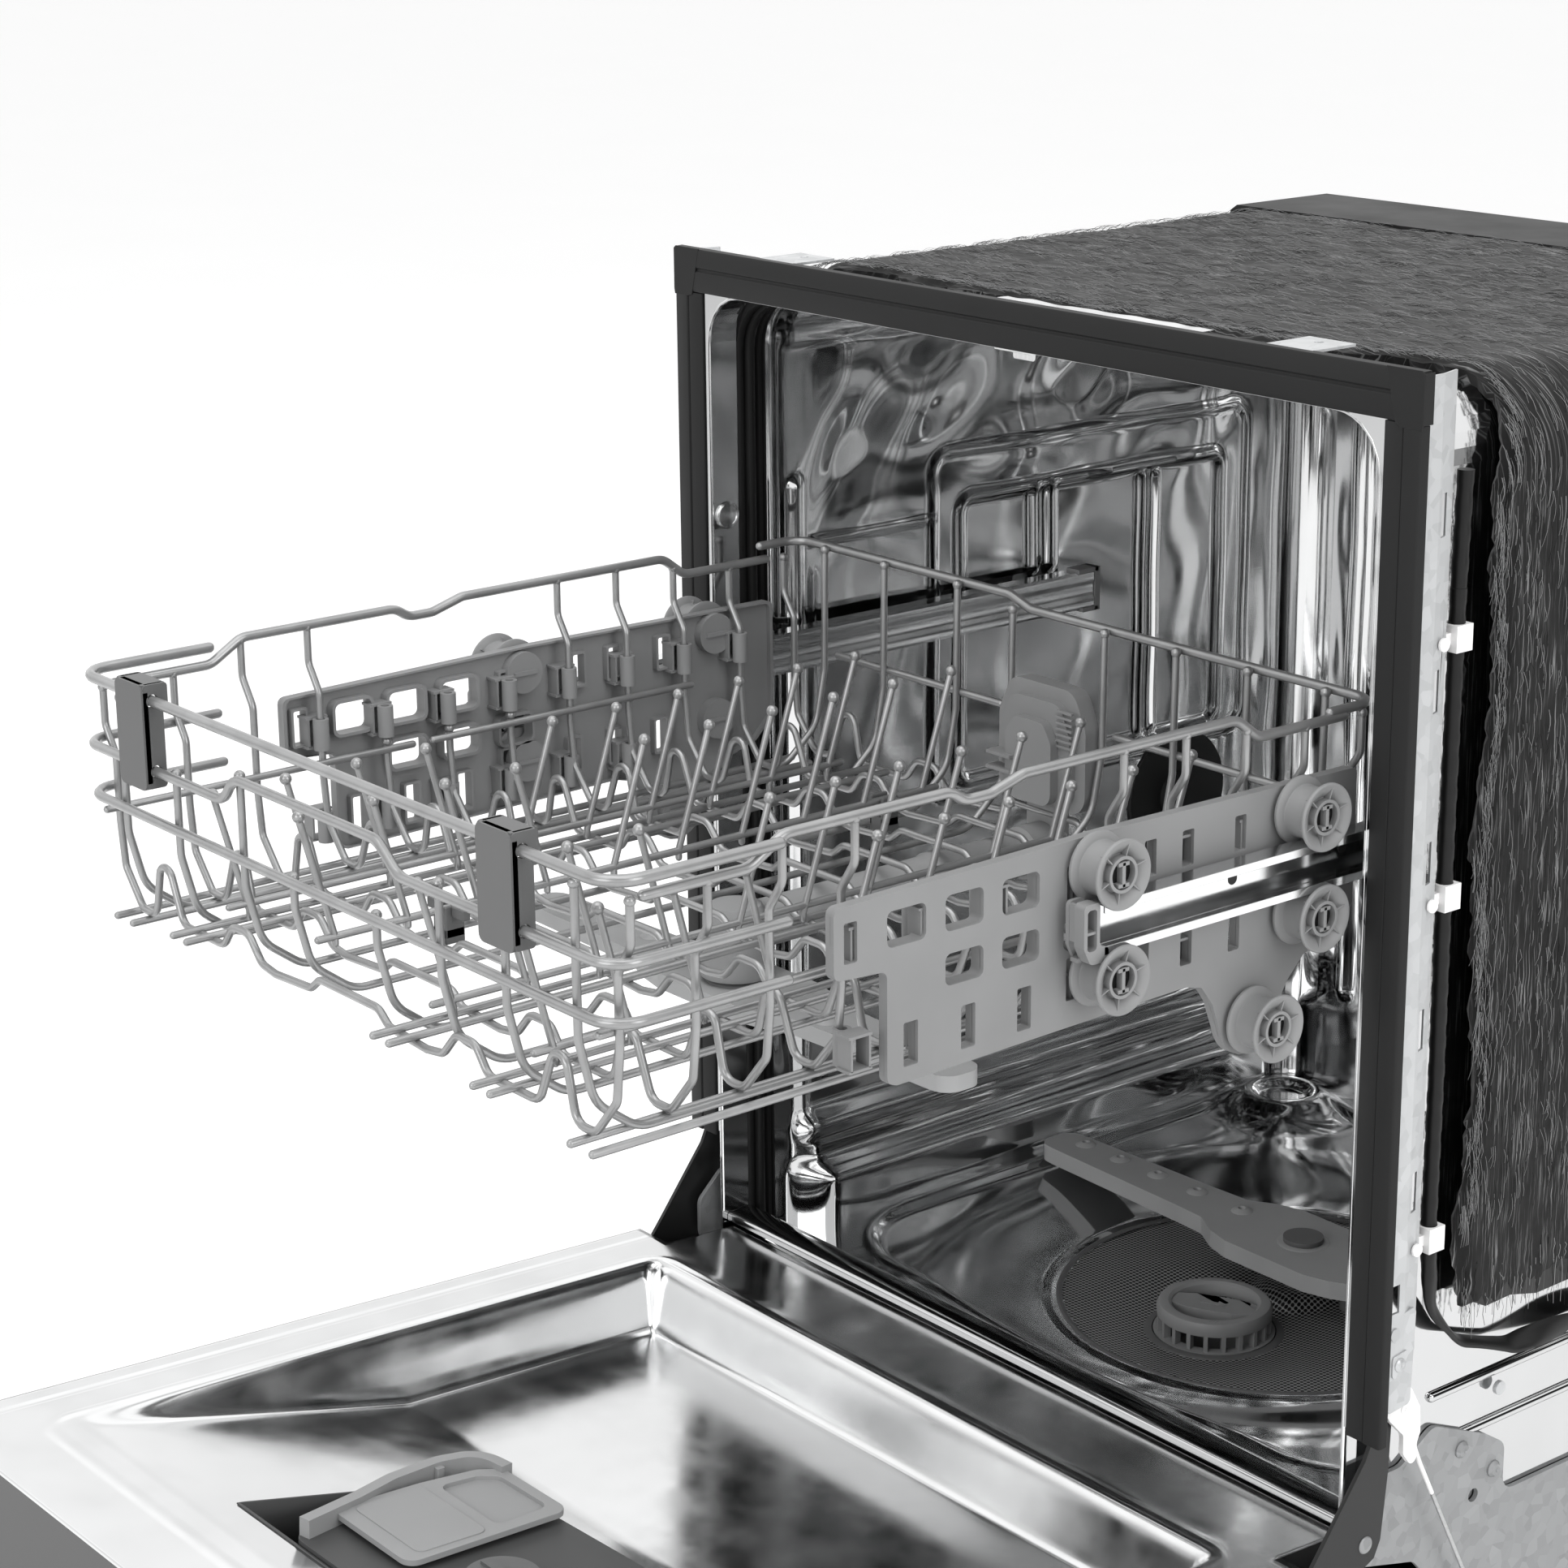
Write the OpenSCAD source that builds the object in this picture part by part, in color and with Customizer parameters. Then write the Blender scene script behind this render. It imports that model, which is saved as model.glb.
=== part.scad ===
// Built-in dishwasher, door open and upper rack pulled out.
// +X is right, +Y is towards the back and +Z is up. The floor is z = 0.
// Places are measured from the face of the front trim, then moved so the origin is central.

/* [Cabinet] */
// Width over the front trim
cabinet_w = 598; // [594:1:600]
// Height to the top of the front trim
cabinet_h = 855; // [850:1:858]
// Depth behind the face of the front trim
cabinet_d = 545; // [544:1:550]
// Thickness of the pressed steel sheets
sheet = 1.5; // [1:0.1:1.5]

/* [Tub] */
// Inside width of the tub
tub_w = 556; // [554:1:557]
// Height of the tub ceiling
tub_top = 831; // [829:1:832]
// Width of the door opening
opening_w = 540; // [538:1:541]
// Height of the pressed floor
floor_z = 202; // [200:1:203]
// Radius of the filter opening in the floor
sump_r = 138; // [134:1:139]
// Distance from the front trim to the middle of the filter
sump_y = 234; // [232:1:236]

/* [Door] */
// Height of the hinge pins
pivot_z = 220; // [219:1:221]
// Angle from closed to fully open
door_angle = 87; // [86:0.5:88]
// Thickness of the door
door_t = 52; // [50:1:53]
// Height of the door above the hinge pins
door_h = 632; // [630:1:634]

/* [Upper rack] */
// Height of the rack's top rim
rim_z = 676; // [672:1:678]
// Distance that the rack stands out in front of the trim
rack_front = 452; // [450:1:454]
// Diameter of the rack's coated wire
wire_d = 4.6; // [4:0.2:5]
// Radius of the wheel flanges
wheel_r = 18; // [17:0.5:18.5]
// Radius of the wheel treads
tread_r = 13.7; // [13.5:0.05:13.7]

/* [Spray arms] */
// Length of the lower spray arm
lower_arm_l = 480; // [440:5:490]
// Length of the middle spray arm
middle_arm_l = 384; // [360:2:390]

/* [Hidden] */
$fn = 48;
eps = 0.1;
half_w = cabinet_w / 2;
tub_x = tub_w / 2;
opening_x = opening_w / 2;
opening_top = tub_top - 3;
back_y = cabinet_d - 10;
step_y = 20;
sill_z = 225;
// Base
base_x = 279;
base_top = 118;
tray_back = cabinet_d - 28;
spigot_y = tray_back + 2;
foot_x = 250;
foot_front_y = 88;
foot_rear_y = 505;
bracket_x = 283;
arm_x = 287.5;
link_x = 291.5;
pin_r = 5;
tail_w = 92;
tail_v = -5;
tail_y = tail_w * cos(door_angle) - tail_v * sin(door_angle);
tail_z = pivot_z + tail_w * sin(door_angle) + tail_v * cos(door_angle);
link_lean = 27.2;
pulley_y = 116;
pulley_z = 106;
cord_z = pulley_z - 9.4;
cord_d = 2.4;
spring_hook_y = 500;
// Services at the back of the base
drain_x = -150;
drain_z = 74;
drain_d = 22;
inlet_x = -225;
inlet_z = 60;
inlet_d = 26.4;
entry_x = 192;
entry_z = 48;
entry_d = 22;
// Cable loom: x, y and z of each bend, from the top down and back
loom_d = 9;
loom_route = [[290, 40, 800], [290, 40, 350], [290, 64, 322], [290, 110, 303], [290, 200, 300],
    [290, 330, 300]];
clip_heights = [388, 578, 715];
// Rack and rails: y and z of each wheel pair at rest
rail_z = 600;
rail_h = 26;
rail_x0 = 250;
rail_x1 = 263;
rail_front = -175;
rail_rear = 308;
wheel_x0 = 246;
wheel_x1 = 267;
wheel_rise = rail_h / 2 + tread_r + 0.3;
upper_front = [-166, rail_z + wheel_rise];
upper_rear = [-24, rail_z + wheel_rise];
lower_front = [-165, rail_z - wheel_rise];
lower_rear = [-23, rail_z - wheel_rise];
support = [-54.6, 521];
wheels = [upper_front, upper_rear, lower_front, lower_rear, support];
plate_x = 241;
plate_t = 3;
side_x = 238;
rack_rear = 43;
rack_floor = 562;
fold_x = -54;
guide_places = [70, 260];
// Spray parts
arm_y = 262;
arm_top = 222;
arm_t = 12;
spindle_r = 9;
filter_y = 182;
mesh_z = 190;
boss_place = [-185, 437];
middle_y = -195;
middle_z = 508;
feed_z = 536;
// Dispenser and buttons, in the door's own frame
dispenser_v = 385;
button_r = 5;
buttons_x = [-60, 60];
// The door's front edge is the lowest Y and the back of the cabinet the highest
front_y = -(door_t + 3) * cos(door_angle) - door_h * sin(door_angle);
row_shift = -(front_y + cabinet_d) / 2;

// ---- Helpers ----

// Points of an arc, counted in equal steps
function arc(cx, cy, r, a0, a1, n = 8) =
    [for (i = [0:n]) let (a = a0 + (a1 - a0) * i / n) [cx + r * cos(a), cy + r * sin(a)]];

// Moves a piece from the trim's frame to the row's frame
module placed() translate([0, row_shift, 0]) children();

// A piece and its mirror image on the other side
module both_sides() {
    children();
    mirror([1, 0, 0]) children();
}

// Swings the door's own frame open about its hinge pins
module door_pose() placed() translate([0, 0, pivot_z]) rotate([door_angle, 0, 0]) children();

// An arch that is open at the bottom: the shape of a door opening
module arch(half, top, bottom, r) {
    polygon(concat([[-half, bottom]], arc(r - half, top - r, r, 180, 90),
        arc(half - r, top - r, r, 90, 0), [[half, bottom]]));
}

// A 2-D drawing of X and Z, made solid from y0 to y1
module along_y(y0, y1) translate([0, y1, 0]) rotate([90, 0, 0]) linear_extrude(y1 - y0) children();

// A 2-D drawing of Y and Z, made solid from x0 to x1
module along_x(x0, x1) translate([x0, 0, 0])
    rotate([90, 0, 90]) linear_extrude(x1 - x0) children();

// A box given by two opposite corners
module block(low, high) translate(low) cube(high - low);

// Round bars along each axis, from one end to the other
module bar_x(x0, x1, y, z, d) translate([x0, y, z]) rotate([0, 90, 0]) cylinder(d = d, h = x1 - x0);
module bar_y(y0, y1, x, z, d) translate([x, y1, z]) rotate([90, 0, 0]) cylinder(d = d, h = y1 - y0);
module bar_z(z0, z1, x, y, d) translate([x, y, z0]) cylinder(d = d, h = z1 - z0);

// ---- Base ----

// Drip tray that carries the pumps, open at the top
module base_tray() color("#1c1d1f") placed() {
    wall = 3;
    low = [-base_x, 62, 24];
    difference() {
        block(low, [base_x, tray_back, base_top]);
        block(low + [wall, wall, wall], [base_x - wall, tray_back - wall, base_top + eps]);
        for (x = [-foot_x, foot_x], y = [foot_front_y, foot_rear_y]) bar_z(20, 30, x, y, 10.4);
        bar_y(tray_back - 5, spigot_y, drain_x, drain_z, drain_d + 1);
        bar_y(tray_back - 5, spigot_y, inlet_x, inlet_z, inlet_d + 1);
        block([entry_x - 17, tray_back - 5, entry_z - 17],
            [entry_x + 17, tray_back + 1, base_top + eps]);
    }
}

// Steel side plates of the base, with a hinge pin and a pulley pin on each
module base_brackets() color("#b9bdc1") placed() both_sides() {
    difference() {
        along_x(bracket_x - 3, bracket_x) polygon([[-11, 206], [-11, 234], [8, 252], [84, 252],
            [90, 292], [500, 292], [cabinet_d - 5, 252], [cabinet_d - 5, 40], [64, 40], [64, 172],
            [48, 190]]);
        bar_x(bracket_x - 4, bracket_x + 1, 200, 80, 9);
        bar_x(bracket_x - 4, bracket_x + 1, 440, 80, 9);
    }
    bar_x(bracket_x - 1, arm_x + 3.4, 0, pivot_z, 2 * pin_r);
    bar_x(bracket_x - 1, link_x + 5, pulley_y, pulley_z, 8);
    bar_x(bracket_x - 1, link_x + 4, spring_hook_y + 3, cord_z, 5);
}

// Screwed feet that level the machine
module leveling_feet() color("#6f7377") placed()
    for (x = [-foot_x, foot_x], y = [foot_front_y, foot_rear_y]) {
        bar_z(0, 8, x, y, 36);
        bar_z(7, 12, x, y, 20);
        bar_z(11, 60, x, y, 10);
    }

// Recessed panel under the door
module toe_kick() color("#17181a") placed() {
    block([-base_x, 58, 14], [base_x, 61, 112]);
    block([-base_x, 50, 14], [base_x, 58.5, 17]);
}

// ---- Tub ----

// Sides and ceiling of the tub in one bent sheet, with the flange round the opening
module tub_wrapper() color("#cfd2d4") placed() {
    along_y(step_y, back_y) difference() {
        arch(tub_x + sheet, tub_top + sheet, floor_z, 41.5);
        arch(tub_x, tub_top, floor_z - 1, 40);
    }
    along_y(step_y, step_y + sheet) difference() {
        arch(tub_x + sheet, tub_top + sheet, floor_z, 41.5);
        arch(opening_x, opening_top, floor_z - 1, 30);
    }
    along_y(0, step_y + sheet) difference() {
        arch(opening_x + sheet, opening_top + sheet, floor_z, 31.5);
        arch(opening_x, opening_top, floor_z - 1, 30);
    }
    along_y(0, sheet) difference() {
        arch(half_w - 3, cabinet_h - 3, 283, 4);
        arch(opening_x, opening_top, 282, 30);
    }
}

// Back sheet of the tub, with the hole for the water feed
module tub_back() color("#c6c9cb") placed() difference() {
    along_y(back_y, back_y + sheet) arch(tub_x + sheet, tub_top + sheet, floor_z - 10, 41.5);
    bar_y(back_y - 1, back_y + 3, 0, rail_z - 5, 36.4);
}

// Pressed floor with the filter opening, the front sill and the raised round boss
module tub_floor() color("#c9cccf") placed() {
    difference() {
        block([-tub_x, step_y + sheet, floor_z - 2 * sheet], [tub_x, back_y, floor_z - sheet]);
        bar_z(floor_z - 9, floor_z + 9, 0, sump_y, 2 * sump_r + 2);
        bar_z(floor_z - 9, floor_z + 9, boss_place[0], boss_place[1], 86);
    }
    block([-opening_x, 4, sill_z - sheet], [opening_x, step_y + sheet, sill_z]);
    block([-opening_x, step_y, floor_z - 2 * sheet], [opening_x, step_y + sheet, sill_z]);
    translate([boss_place[0], boss_place[1], floor_z - 2 * sheet]) difference() {
        cylinder(r1 = 45, r2 = 28, h = 8);
        translate([0, 0, -sheet]) cylinder(r1 = 45, r2 = 28, h = 8);
    }
}

// Plastic bowl under the filter opening, with the filter well and the feed pipe seat
module sump() color("#26282a") placed() {
    top_z = floor_z - 2 * sheet;
    difference() {
        union() {
            bar_z(top_z - 3, top_z, 0, sump_y, 2 * sump_r + 20);
            bar_z(136, top_z, 0, sump_y, 2 * sump_r + 8);
            bar_z(104, 140, 0, filter_y, 96);
        }
        bar_z(140, top_z + 1, 0, sump_y, 2 * sump_r - 8);
        bar_z(mesh_z - 3, top_z + 1, 0, sump_y, 2 * sump_r + 2);
        bar_z(108, 141, 0, filter_y, 88);
    }
}

// Round mesh plate that lies in the floor
module filter_plate() color("#5c5f61") placed() difference() {
    union() {
        bar_z(mesh_z - 3, mesh_z, 0, sump_y, 2 * sump_r);
        bar_z(mesh_z - 10, mesh_z, 0, filter_y, 88);
    }
    bar_z(mesh_z - 12, mesh_z + 1, 0, filter_y, 79.2);
    bar_z(mesh_z - 12, mesh_z + 1, 0, arm_y, 27);
}

// Twist-out cylinder filter with a ring handle
module filter_cylinder() color("#77797b") placed() translate([0, filter_y, 0]) {
    difference() {
        cylinder(r = 39.2, h = mesh_z - 1);
        translate([0, 0, -1]) cylinder(r = 36.8, h = mesh_z + 1);
        translate([0, 0, -1]) cylinder(r = 60, h = 131);
    }
    difference() {
        translate([0, 0, mesh_z - 3]) cylinder(r = 39.2, h = 3);
        translate([0, 0, mesh_z - 4]) cylinder(r = 30, h = 5);
    }
    for (a = [0:60:300]) rotate([0, 0, a]) translate([30, -2.5, mesh_z - 2]) cube([4, 5, 12]);
    difference() {
        translate([0, 0, mesh_z + 9]) cylinder(r = 39, h = 6);
        translate([0, 0, mesh_z + 8]) cylinder(r = 30, h = 8);
    }
    rotate([0, 0, 35]) translate([-32, -6, mesh_z + 10]) cube([64, 12, 4]);
}

// Post with three screwed legs that carries the lower arm and feeds it
module arm_support() color("#7d7f81") placed() translate([0, arm_y, 0]) {
    translate([0, 0, 140]) cylinder(r = 13, h = 67);
    for (a = [0, 90, 180]) rotate([0, 0, a]) {
        translate([8, -5, mesh_z + 10]) cube([34, 10, 4]);
        translate([42, 0, mesh_z + 0.1]) cylinder(r = 7, h = 16);
    }
    translate([0, 0, 206]) cylinder(r = spindle_r, h = 17.4);
    translate([0, 0, arm_top + 1]) cylinder(r = 13, h = 3);
}

// A flat spray arm with wide hub, centred on the origin, its underside at z = 0
module spray_arm(length, hub_w, tip_w, t, bore_r) {
    tip = length / 2 - tip_w / 2;
    difference() {
        linear_extrude(t) polygon(concat(
            arc(tip, 0, tip_w / 2, -90, 90, 12), [[70, hub_w / 2 - 6], [40, hub_w / 2]],
            [[-40, hub_w / 2], [-70, hub_w / 2 - 6]], arc(-tip, 0, tip_w / 2, 90, 270, 12),
            [[-70, 6 - hub_w / 2], [-40, -hub_w / 2]], [[40, -hub_w / 2], [70, 6 - hub_w / 2]]));
        translate([0, 0, -1]) cylinder(r = bore_r, h = t + 2);
        for (i = [1:5], s = [-1, 1])
            translate([s * (60 + (tip - 60) * i / 5), 0, t - 3]) cylinder(r = 2, h = 4);
    }
}

// Lower spray arm, turning on the spindle
module lower_spray_arm() color("#828486") placed() translate([0, arm_y, arm_top - arm_t])
    spray_arm(lower_arm_l, 74, 34, arm_t, spindle_r + 0.06);

// Port in the back wall that feeds the rack's duct when the rack is pushed in
module docking_port() color("#6c6e70") placed() difference() {
    union() {
        bar_y(back_y - 10, back_y, 0, rail_z - 5, 52);
        bar_y(back_y - 10, back_y + 9, 0, rail_z - 5, 36);
    }
    bar_y(back_y - 11, back_y + 10, 0, rail_z - 5, 28);
}

// Ribbed rubber seal round the opening, behind the step
module door_gasket() color("#1e1f20") placed() {
    y0 = step_y + sheet + 0.1;
    along_y(y0, y0 + 24) difference() {
        arch(tub_x, tub_top, 232, 40);
        arch(tub_x - 4, tub_top - 4, 231, 36);
    }
    for (i = [0:2]) along_y(y0 + 9.5 * i, y0 + 9.5 * i + 5) difference() {
        arch(tub_x - 3, tub_top - 3, 232, 37);
        arch(tub_x - 7.5, tub_top - 7.5, 231, 32.5);
    }
}

// Round black vent cap on the left wall
module vent_cap() color("#141516") placed() {
    bar_x(-tub_x, 5 - tub_x, 415, 430, 92);
    bar_x(4 - tub_x, 14 - tub_x, 415, 430, 34);
}

// Guide blocks that the rails run on, each on a stud from the tub wall
module rail_guides() color("#8b8d8f") placed() both_sides() for (y = guide_places) {
    block([rail_x0 + 1.6, y - 10, rail_z - 11.4], [rail_x1 - 2, y + 10, rail_z + 11.4]);
    bar_x(rail_x1 - 3, tub_x, y, rail_z, 10);
}

// Hook on the opening's top edge that the door latch closes on
module latch_strike() color("#a9adb0") placed() difference() {
    block([-18, 2, opening_top - 14], [18, 16, opening_top]);
    block([-12, 1, opening_top - 11], [12, 12, opening_top - 3]);
}

// ---- Front and outside of the cabinet ----

// Black plastic strips that cover the flange at the sides
module side_trims() color("#2b2c2e") placed() both_sides() {
    inner = opening_x + 4;
    along_y(-2.2, 0) polygon([[inner, 283], [half_w - 3, 280], [half_w, 283],
        [half_w, cabinet_h - 27], [inner, cabinet_h - 27]]);
    block([half_w - 12, -2.7, 284], [half_w - 2, -2.1, cabinet_h - 28]);
}

// Black plastic strip along the top, overlapping the side strips' upper ends
module trim_top() color("#2b2c2e") placed() {
    low_z = cabinet_h - 26.8;
    block([-half_w, -2.2, low_z], [half_w, 0, cabinet_h]);
    block([-half_w, -2.7, cabinet_h - 12], [half_w, -2.1, cabinet_h]);
}

// Galvanised angle strips behind the trim, with slots and holes for the loom clips
module side_flanges() color("#c3cacb") placed() both_sides() difference() {
    x1 = half_w - 1;
    flange_strip(x1);
    for (z = [410:90:790]) block([x1 - 8, 17, z], [x1 + 1, 22, z + 22]);
    for (z = clip_heights) bar_x(x1 - 9, x1 + 1, 22, z, 4.4);
    block([x1 - 20, 4, 356], [x1 + 1, 10, 372]);
}

// Folded profile of one galvanised strip, from its lower end to the trim's top
module flange_strip(x1) {
    foot = 328;
    t = 1.6;
    y0 = sheet + 0.1;
    translate([0, 0, foot]) linear_extrude(cabinet_h - 3 - foot) polygon([[x1 - 17, y0], [x1, y0],
        [x1, 14], [x1 - 4, 28], [x1 - 4 - t, 28], [x1 - t, 14], [x1 - t, y0 + t],
        [x1 - 17, y0 + t]]);
}

// Fibre blanket over the ceiling and both sides
module insulation_blanket() color("#3a3b3d") placed() along_y(58, 455) difference() {
    arch(half_w - 4, tub_top + 11, 341, 52);
    arch(tub_x + sheet + 0.2, tub_top + sheet + 0.2, 340, 41.7);
}

// Black channel across the back of the ceiling, open at both ends
module rear_top_channel() color("#191a1b") placed() along_y(456, cabinet_d) {
    top = tub_top + 11;
    polygon([[-276, top - 19], [-276, top - 4], [-270, top], [270, top], [276, top - 4],
        [276, top - 19], [268, top - 19], [262, top - 3], [4, top - 3], [4, top - 9.3],
        [-4, top - 9.3], [-4, top - 3], [-262, top - 3], [-268, top - 19]]);
}

// Brackets that screw up into a worktop
module counter_brackets() color("#b4b9bb") placed() both_sides() difference() {
    union() {
        block([190, 2, opening_top + 6], [222, 3.6, cabinet_h]);
        block([190, 2, cabinet_h - 1.6], [222, 34, cabinet_h]);
    }
    bar_z(cabinet_h - 3, cabinet_h + 1, 206, 24, 5);
}

// Screws at the trim and brackets
module cabinet_screws() color("#d2d5d7") placed() both_sides() {
    bar_x(half_w - 1, half_w, 7, 344, 7);
    bar_x(bracket_x, bracket_x + 2.5, 112, 275, 8);
    bar_x(bracket_x, bracket_x + 2.5, 480, 275, 8);
}

// ---- Services ----

// Circulation pump with its flow heater, on its side in the tray
module wash_pump() color("#33363a") placed() {
    bar_z(40, 104, 40, 330, 92);
    bar_x(84, 200, 330, 76, 78);
    bar_z(70, 104, 0, 226, 40);
    block([-2, 232, 72], [10, 300, 96]);
}

// Drain pump with its hose outlet
module drain_pump() color("#3c4046") placed() difference() {
    union() {
        bar_x(-170, -90, 190, drain_z, 60);
        bar_x(-92, -46, 190, drain_z, 24);
        bar_y(190, spigot_y, drain_x, drain_z, drain_d - 2);
        bar_y(spigot_y, cabinet_d, drain_x, drain_z, drain_d);
    }
    bar_y(490, cabinet_d + 1, drain_x, drain_z, drain_d - 6);
}

// Water inlet valve with its threaded spigot at the back
module inlet_valve() color("#5c6167") placed() difference() {
    union() {
        block([inlet_x - 20, 420, 34], [inlet_x + 20, 480, 84]);
        bar_y(478, spigot_y, inlet_x, inlet_z, inlet_d - 2.4);
        bar_y(spigot_y, cabinet_d, inlet_x, inlet_z, inlet_d);
    }
    bar_y(490, cabinet_d + 1, inlet_x, inlet_z, inlet_d - 6.4);
}

// Wiring box with a cable entry hole in its back
module junction_box() color("#9a9da0") placed() difference() {
    low = [entry_x - 42, tray_back - 120, 27];
    high = [entry_x + 42, tray_back - 3.2, 66];
    block(low, high);
    block(low + [2, 2, 2], high + [-2, -2, 1]);
    bar_y(high[1] - 4, high[1] + 1, entry_x, entry_z, entry_d);
}

// Extension springs and their cords, along the base sides
module balance_springs() color("#a2a6aa") placed() both_sides() {
    x = link_x + 1.6;
    bar_y(290, 470, x, cord_z, 6);
    bar_y(pulley_y + 14, 291, x, cord_z, cord_d);
    bar_y(469, spring_hook_y, x, cord_z, cord_d);
    translate([link_x, tail_y, tail_z]) rotate([link_lean, 0, 0]) bar_z(-214, -86, 1.6, 0, cord_d);
}

// Grooved pulleys that turn the cords
module cord_pulleys() color("#e4e4e2") placed() both_sides()
    translate([link_x - 1.4, pulley_y, pulley_z]) rotate([0, 90, 0]) difference() {
        union() {
            cylinder(r = 11, h = 1.6);
            cylinder(r = 8, h = 6);
            translate([0, 0, 4.4]) cylinder(r = 11, h = 1.6);
        }
        translate([0, 0, -1]) cylinder(r = 4.06, h = 8);
    }

// Round bar between two points, with a slightly fatter ball at its start
module bend(a, b, d) {
    run = b - a;
    translate(a) rotate([0, acos(run[2] / norm(run)), atan2(run[1], run[0])])
        cylinder(d = d, h = norm(run));
    translate(a) sphere(d = d + 0.3);
}

// Cable loom down the right side of the opening and back along the base
module harness() color("#121314") placed()
    for (i = [0:len(loom_route) - 2]) bend(loom_route[i], loom_route[i + 1], loom_d);

// Clips that hold the loom to the galvanised strip
module harness_clips() color("#f2f2f0") placed() for (z = clip_heights) {
    x = loom_route[0][0];
    y = loom_route[0][1];
    x1 = half_w - 1;
    difference() {
        union() {
            block([x - 6, y - 6, z - 7], [x + 6, y + 6, z + 7]);
            block([x - 1, 19, z - 3], [x + 2, y - 5, z + 3]);
            bar_x(x + 2, x1 - 0.8, 22, z, 4);
            bar_x(x1 - 0.9, x1 + 0.8, 22, z, 7);
        }
        bar_z(z - 8, z + 8, x, y, loom_d + 0.1);
    }
}

// Links between the hinge arms' tails and the balance cords
module balance_links() color("#f4f4f2") placed() both_sides()
    translate([link_x, tail_y, tail_z]) rotate([link_lean, 0, 0]) difference() {
        union() {
            along_x(0, 3.2) polygon(concat(arc(0, 0, 8, 0, 180), [[-11, -30], [-6, -52], [4, -52],
                [11, -30]]));
            bar_z(-85, -50, 1.6, 0, 2.6);
        }
        bar_x(-1, 5, 0, 0, 6.12);
    }

// ---- Door, drawn closed with the hinge pins on the X axis ----

// Painted outer skin with folded sides
module door_panel() color("#d8dadb") door_pose() {
    x = half_w - 1;
    y0 = -door_t - 3;
    block([-x, y0, -32], [x, y0 + sheet, 548]);
    both_sides() block([x - sheet, y0, 46], [x, -8, 548]);
}

// Pressed inner skin with a deep recess that slopes out to flush
module door_liner() color("#c4c7c9") door_pose() {
    x = half_w - 1;
    face = -3;
    depth = 42;
    recess_x = 250;
    sloped = [[face, 70], [face - depth, 82], [face - depth, 262], [face, 480]];
    difference() {
        union() {
            block([-x, face - sheet, 46], [x, face, 548]);
            block([-268, face - sheet, -8], [268, face, 46.1]);
            along_x(-recess_x - sheet, recess_x + sheet) polygon([[face - sheet, 68],
                [face - depth - sheet, 80], [face - depth - sheet, 262],
                [face - sheet, 490]]);
        }
        along_x(-recess_x, recess_x) polygon(concat([[face + 1, 70]], sloped,
            [[face + 1, 482]]));
        dispenser_hole();
    }
}

// Space that the dispenser takes through the liner
module dispenser_hole() block([-92, -60, dispenser_v - 72], [92, 1, dispenser_v + 72]);

// Control console along the door's top edge, with a finger pocket in its face
module console() color("#2f3133") door_pose() {
    x = half_w - 1;
    y0 = -door_t - 3;
    difference() {
        block([-x, y0, 548.1], [x, -3, door_h]);
        block([-x + 3, y0 + 24, 551], [x - 3, -6, door_h - 3]);
        block([-80, y0 - 1, 572], [80, y0 + 21, 606]);
        block([-24, -14, door_h - 40], [24, -2, door_h + 1]);
        for (bx = buttons_x) bar_z(door_h - 5, door_h + 1, bx, -22, 2 * button_r + 0.6);
    }
}

// Circuit board inside the console
module control_board() color("#2d5a3a") door_pose() {
    block([-150, -28, 556], [150, -26.4, 590]);
    for (x = [-120, -70, 60, 110]) block([x, -26.5, 562], [x + 22, -16, 580]);
}

// Latch claw at the middle of the door's top edge
module door_latch() color("#888b8e") door_pose() {
    block([-20, -13, door_h - 36], [20, -5, door_h - 8]);
    block([-8, -6, door_h - 34], [8, -1, door_h - 25]);
}

// Hinge arms: each turns on a base pin and carries a tail for the balance link
module hinge_arms() color("#1d1e1f") door_pose() both_sides() {
    difference() {
        union() {
            along_x(arm_x, arm_x + 2.5) polygon(concat([[-40, 240], [-22, 240], [-9, 46], [5, 36],
                [50, 5], [60, 1], [tail_w, 3]], arc(tail_w, tail_v, 8, 90, -90),
                [[40, -14], [0, -12], [-10, -8], [-24, 20], [-40, 46]]));
            bar_x(arm_x + 2, link_x + 4.4, tail_w, tail_v, 6);
        }
        bar_x(arm_x - 1, arm_x + 4, 0, 0, 2 * pin_r + 0.12);
    }
    bar_x(arm_x - 4, arm_x + 0.1, -30, 200, 6);
}

// Dispenser body with a detergent well
module dispenser_housing() color("#7b7d7f") door_pose() difference() {
    v0 = dispenser_v - 71.5;
    v1 = dispenser_v + 71.5;
    union() {
        block([-91.5, -40, v0], [91.5, -2, v1]);
        block([-95, -3, v0 - 3], [95, -1, v1 + 3]);
    }
    block([-60, -36, v0 + 16], [10, 0, v0 + 112]);
    bar_y(-20, 0, 52, dispenser_v + 10, 40.4);
}

// Sliding lid over the detergent well
module dispenser_lid() color("#8f9193") door_pose() {
    v0 = dispenser_v - 71.5;
    block([-64, -0.8, v0 + 12], [14, 2.2, v0 + 116]);
    block([-40, 2.1, v0 + 30], [-10, 3.4, v0 + 40]);
}

// Quarter-turn cap of the rinse-aid tank
module rinse_cap() color("#5f6264") door_pose() {
    bar_y(-16, 1.6, 52, dispenser_v + 10, 40);
    block([36, 1.5, dispenser_v + 7], [68, 3.4, dispenser_v + 13]);
}

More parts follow.
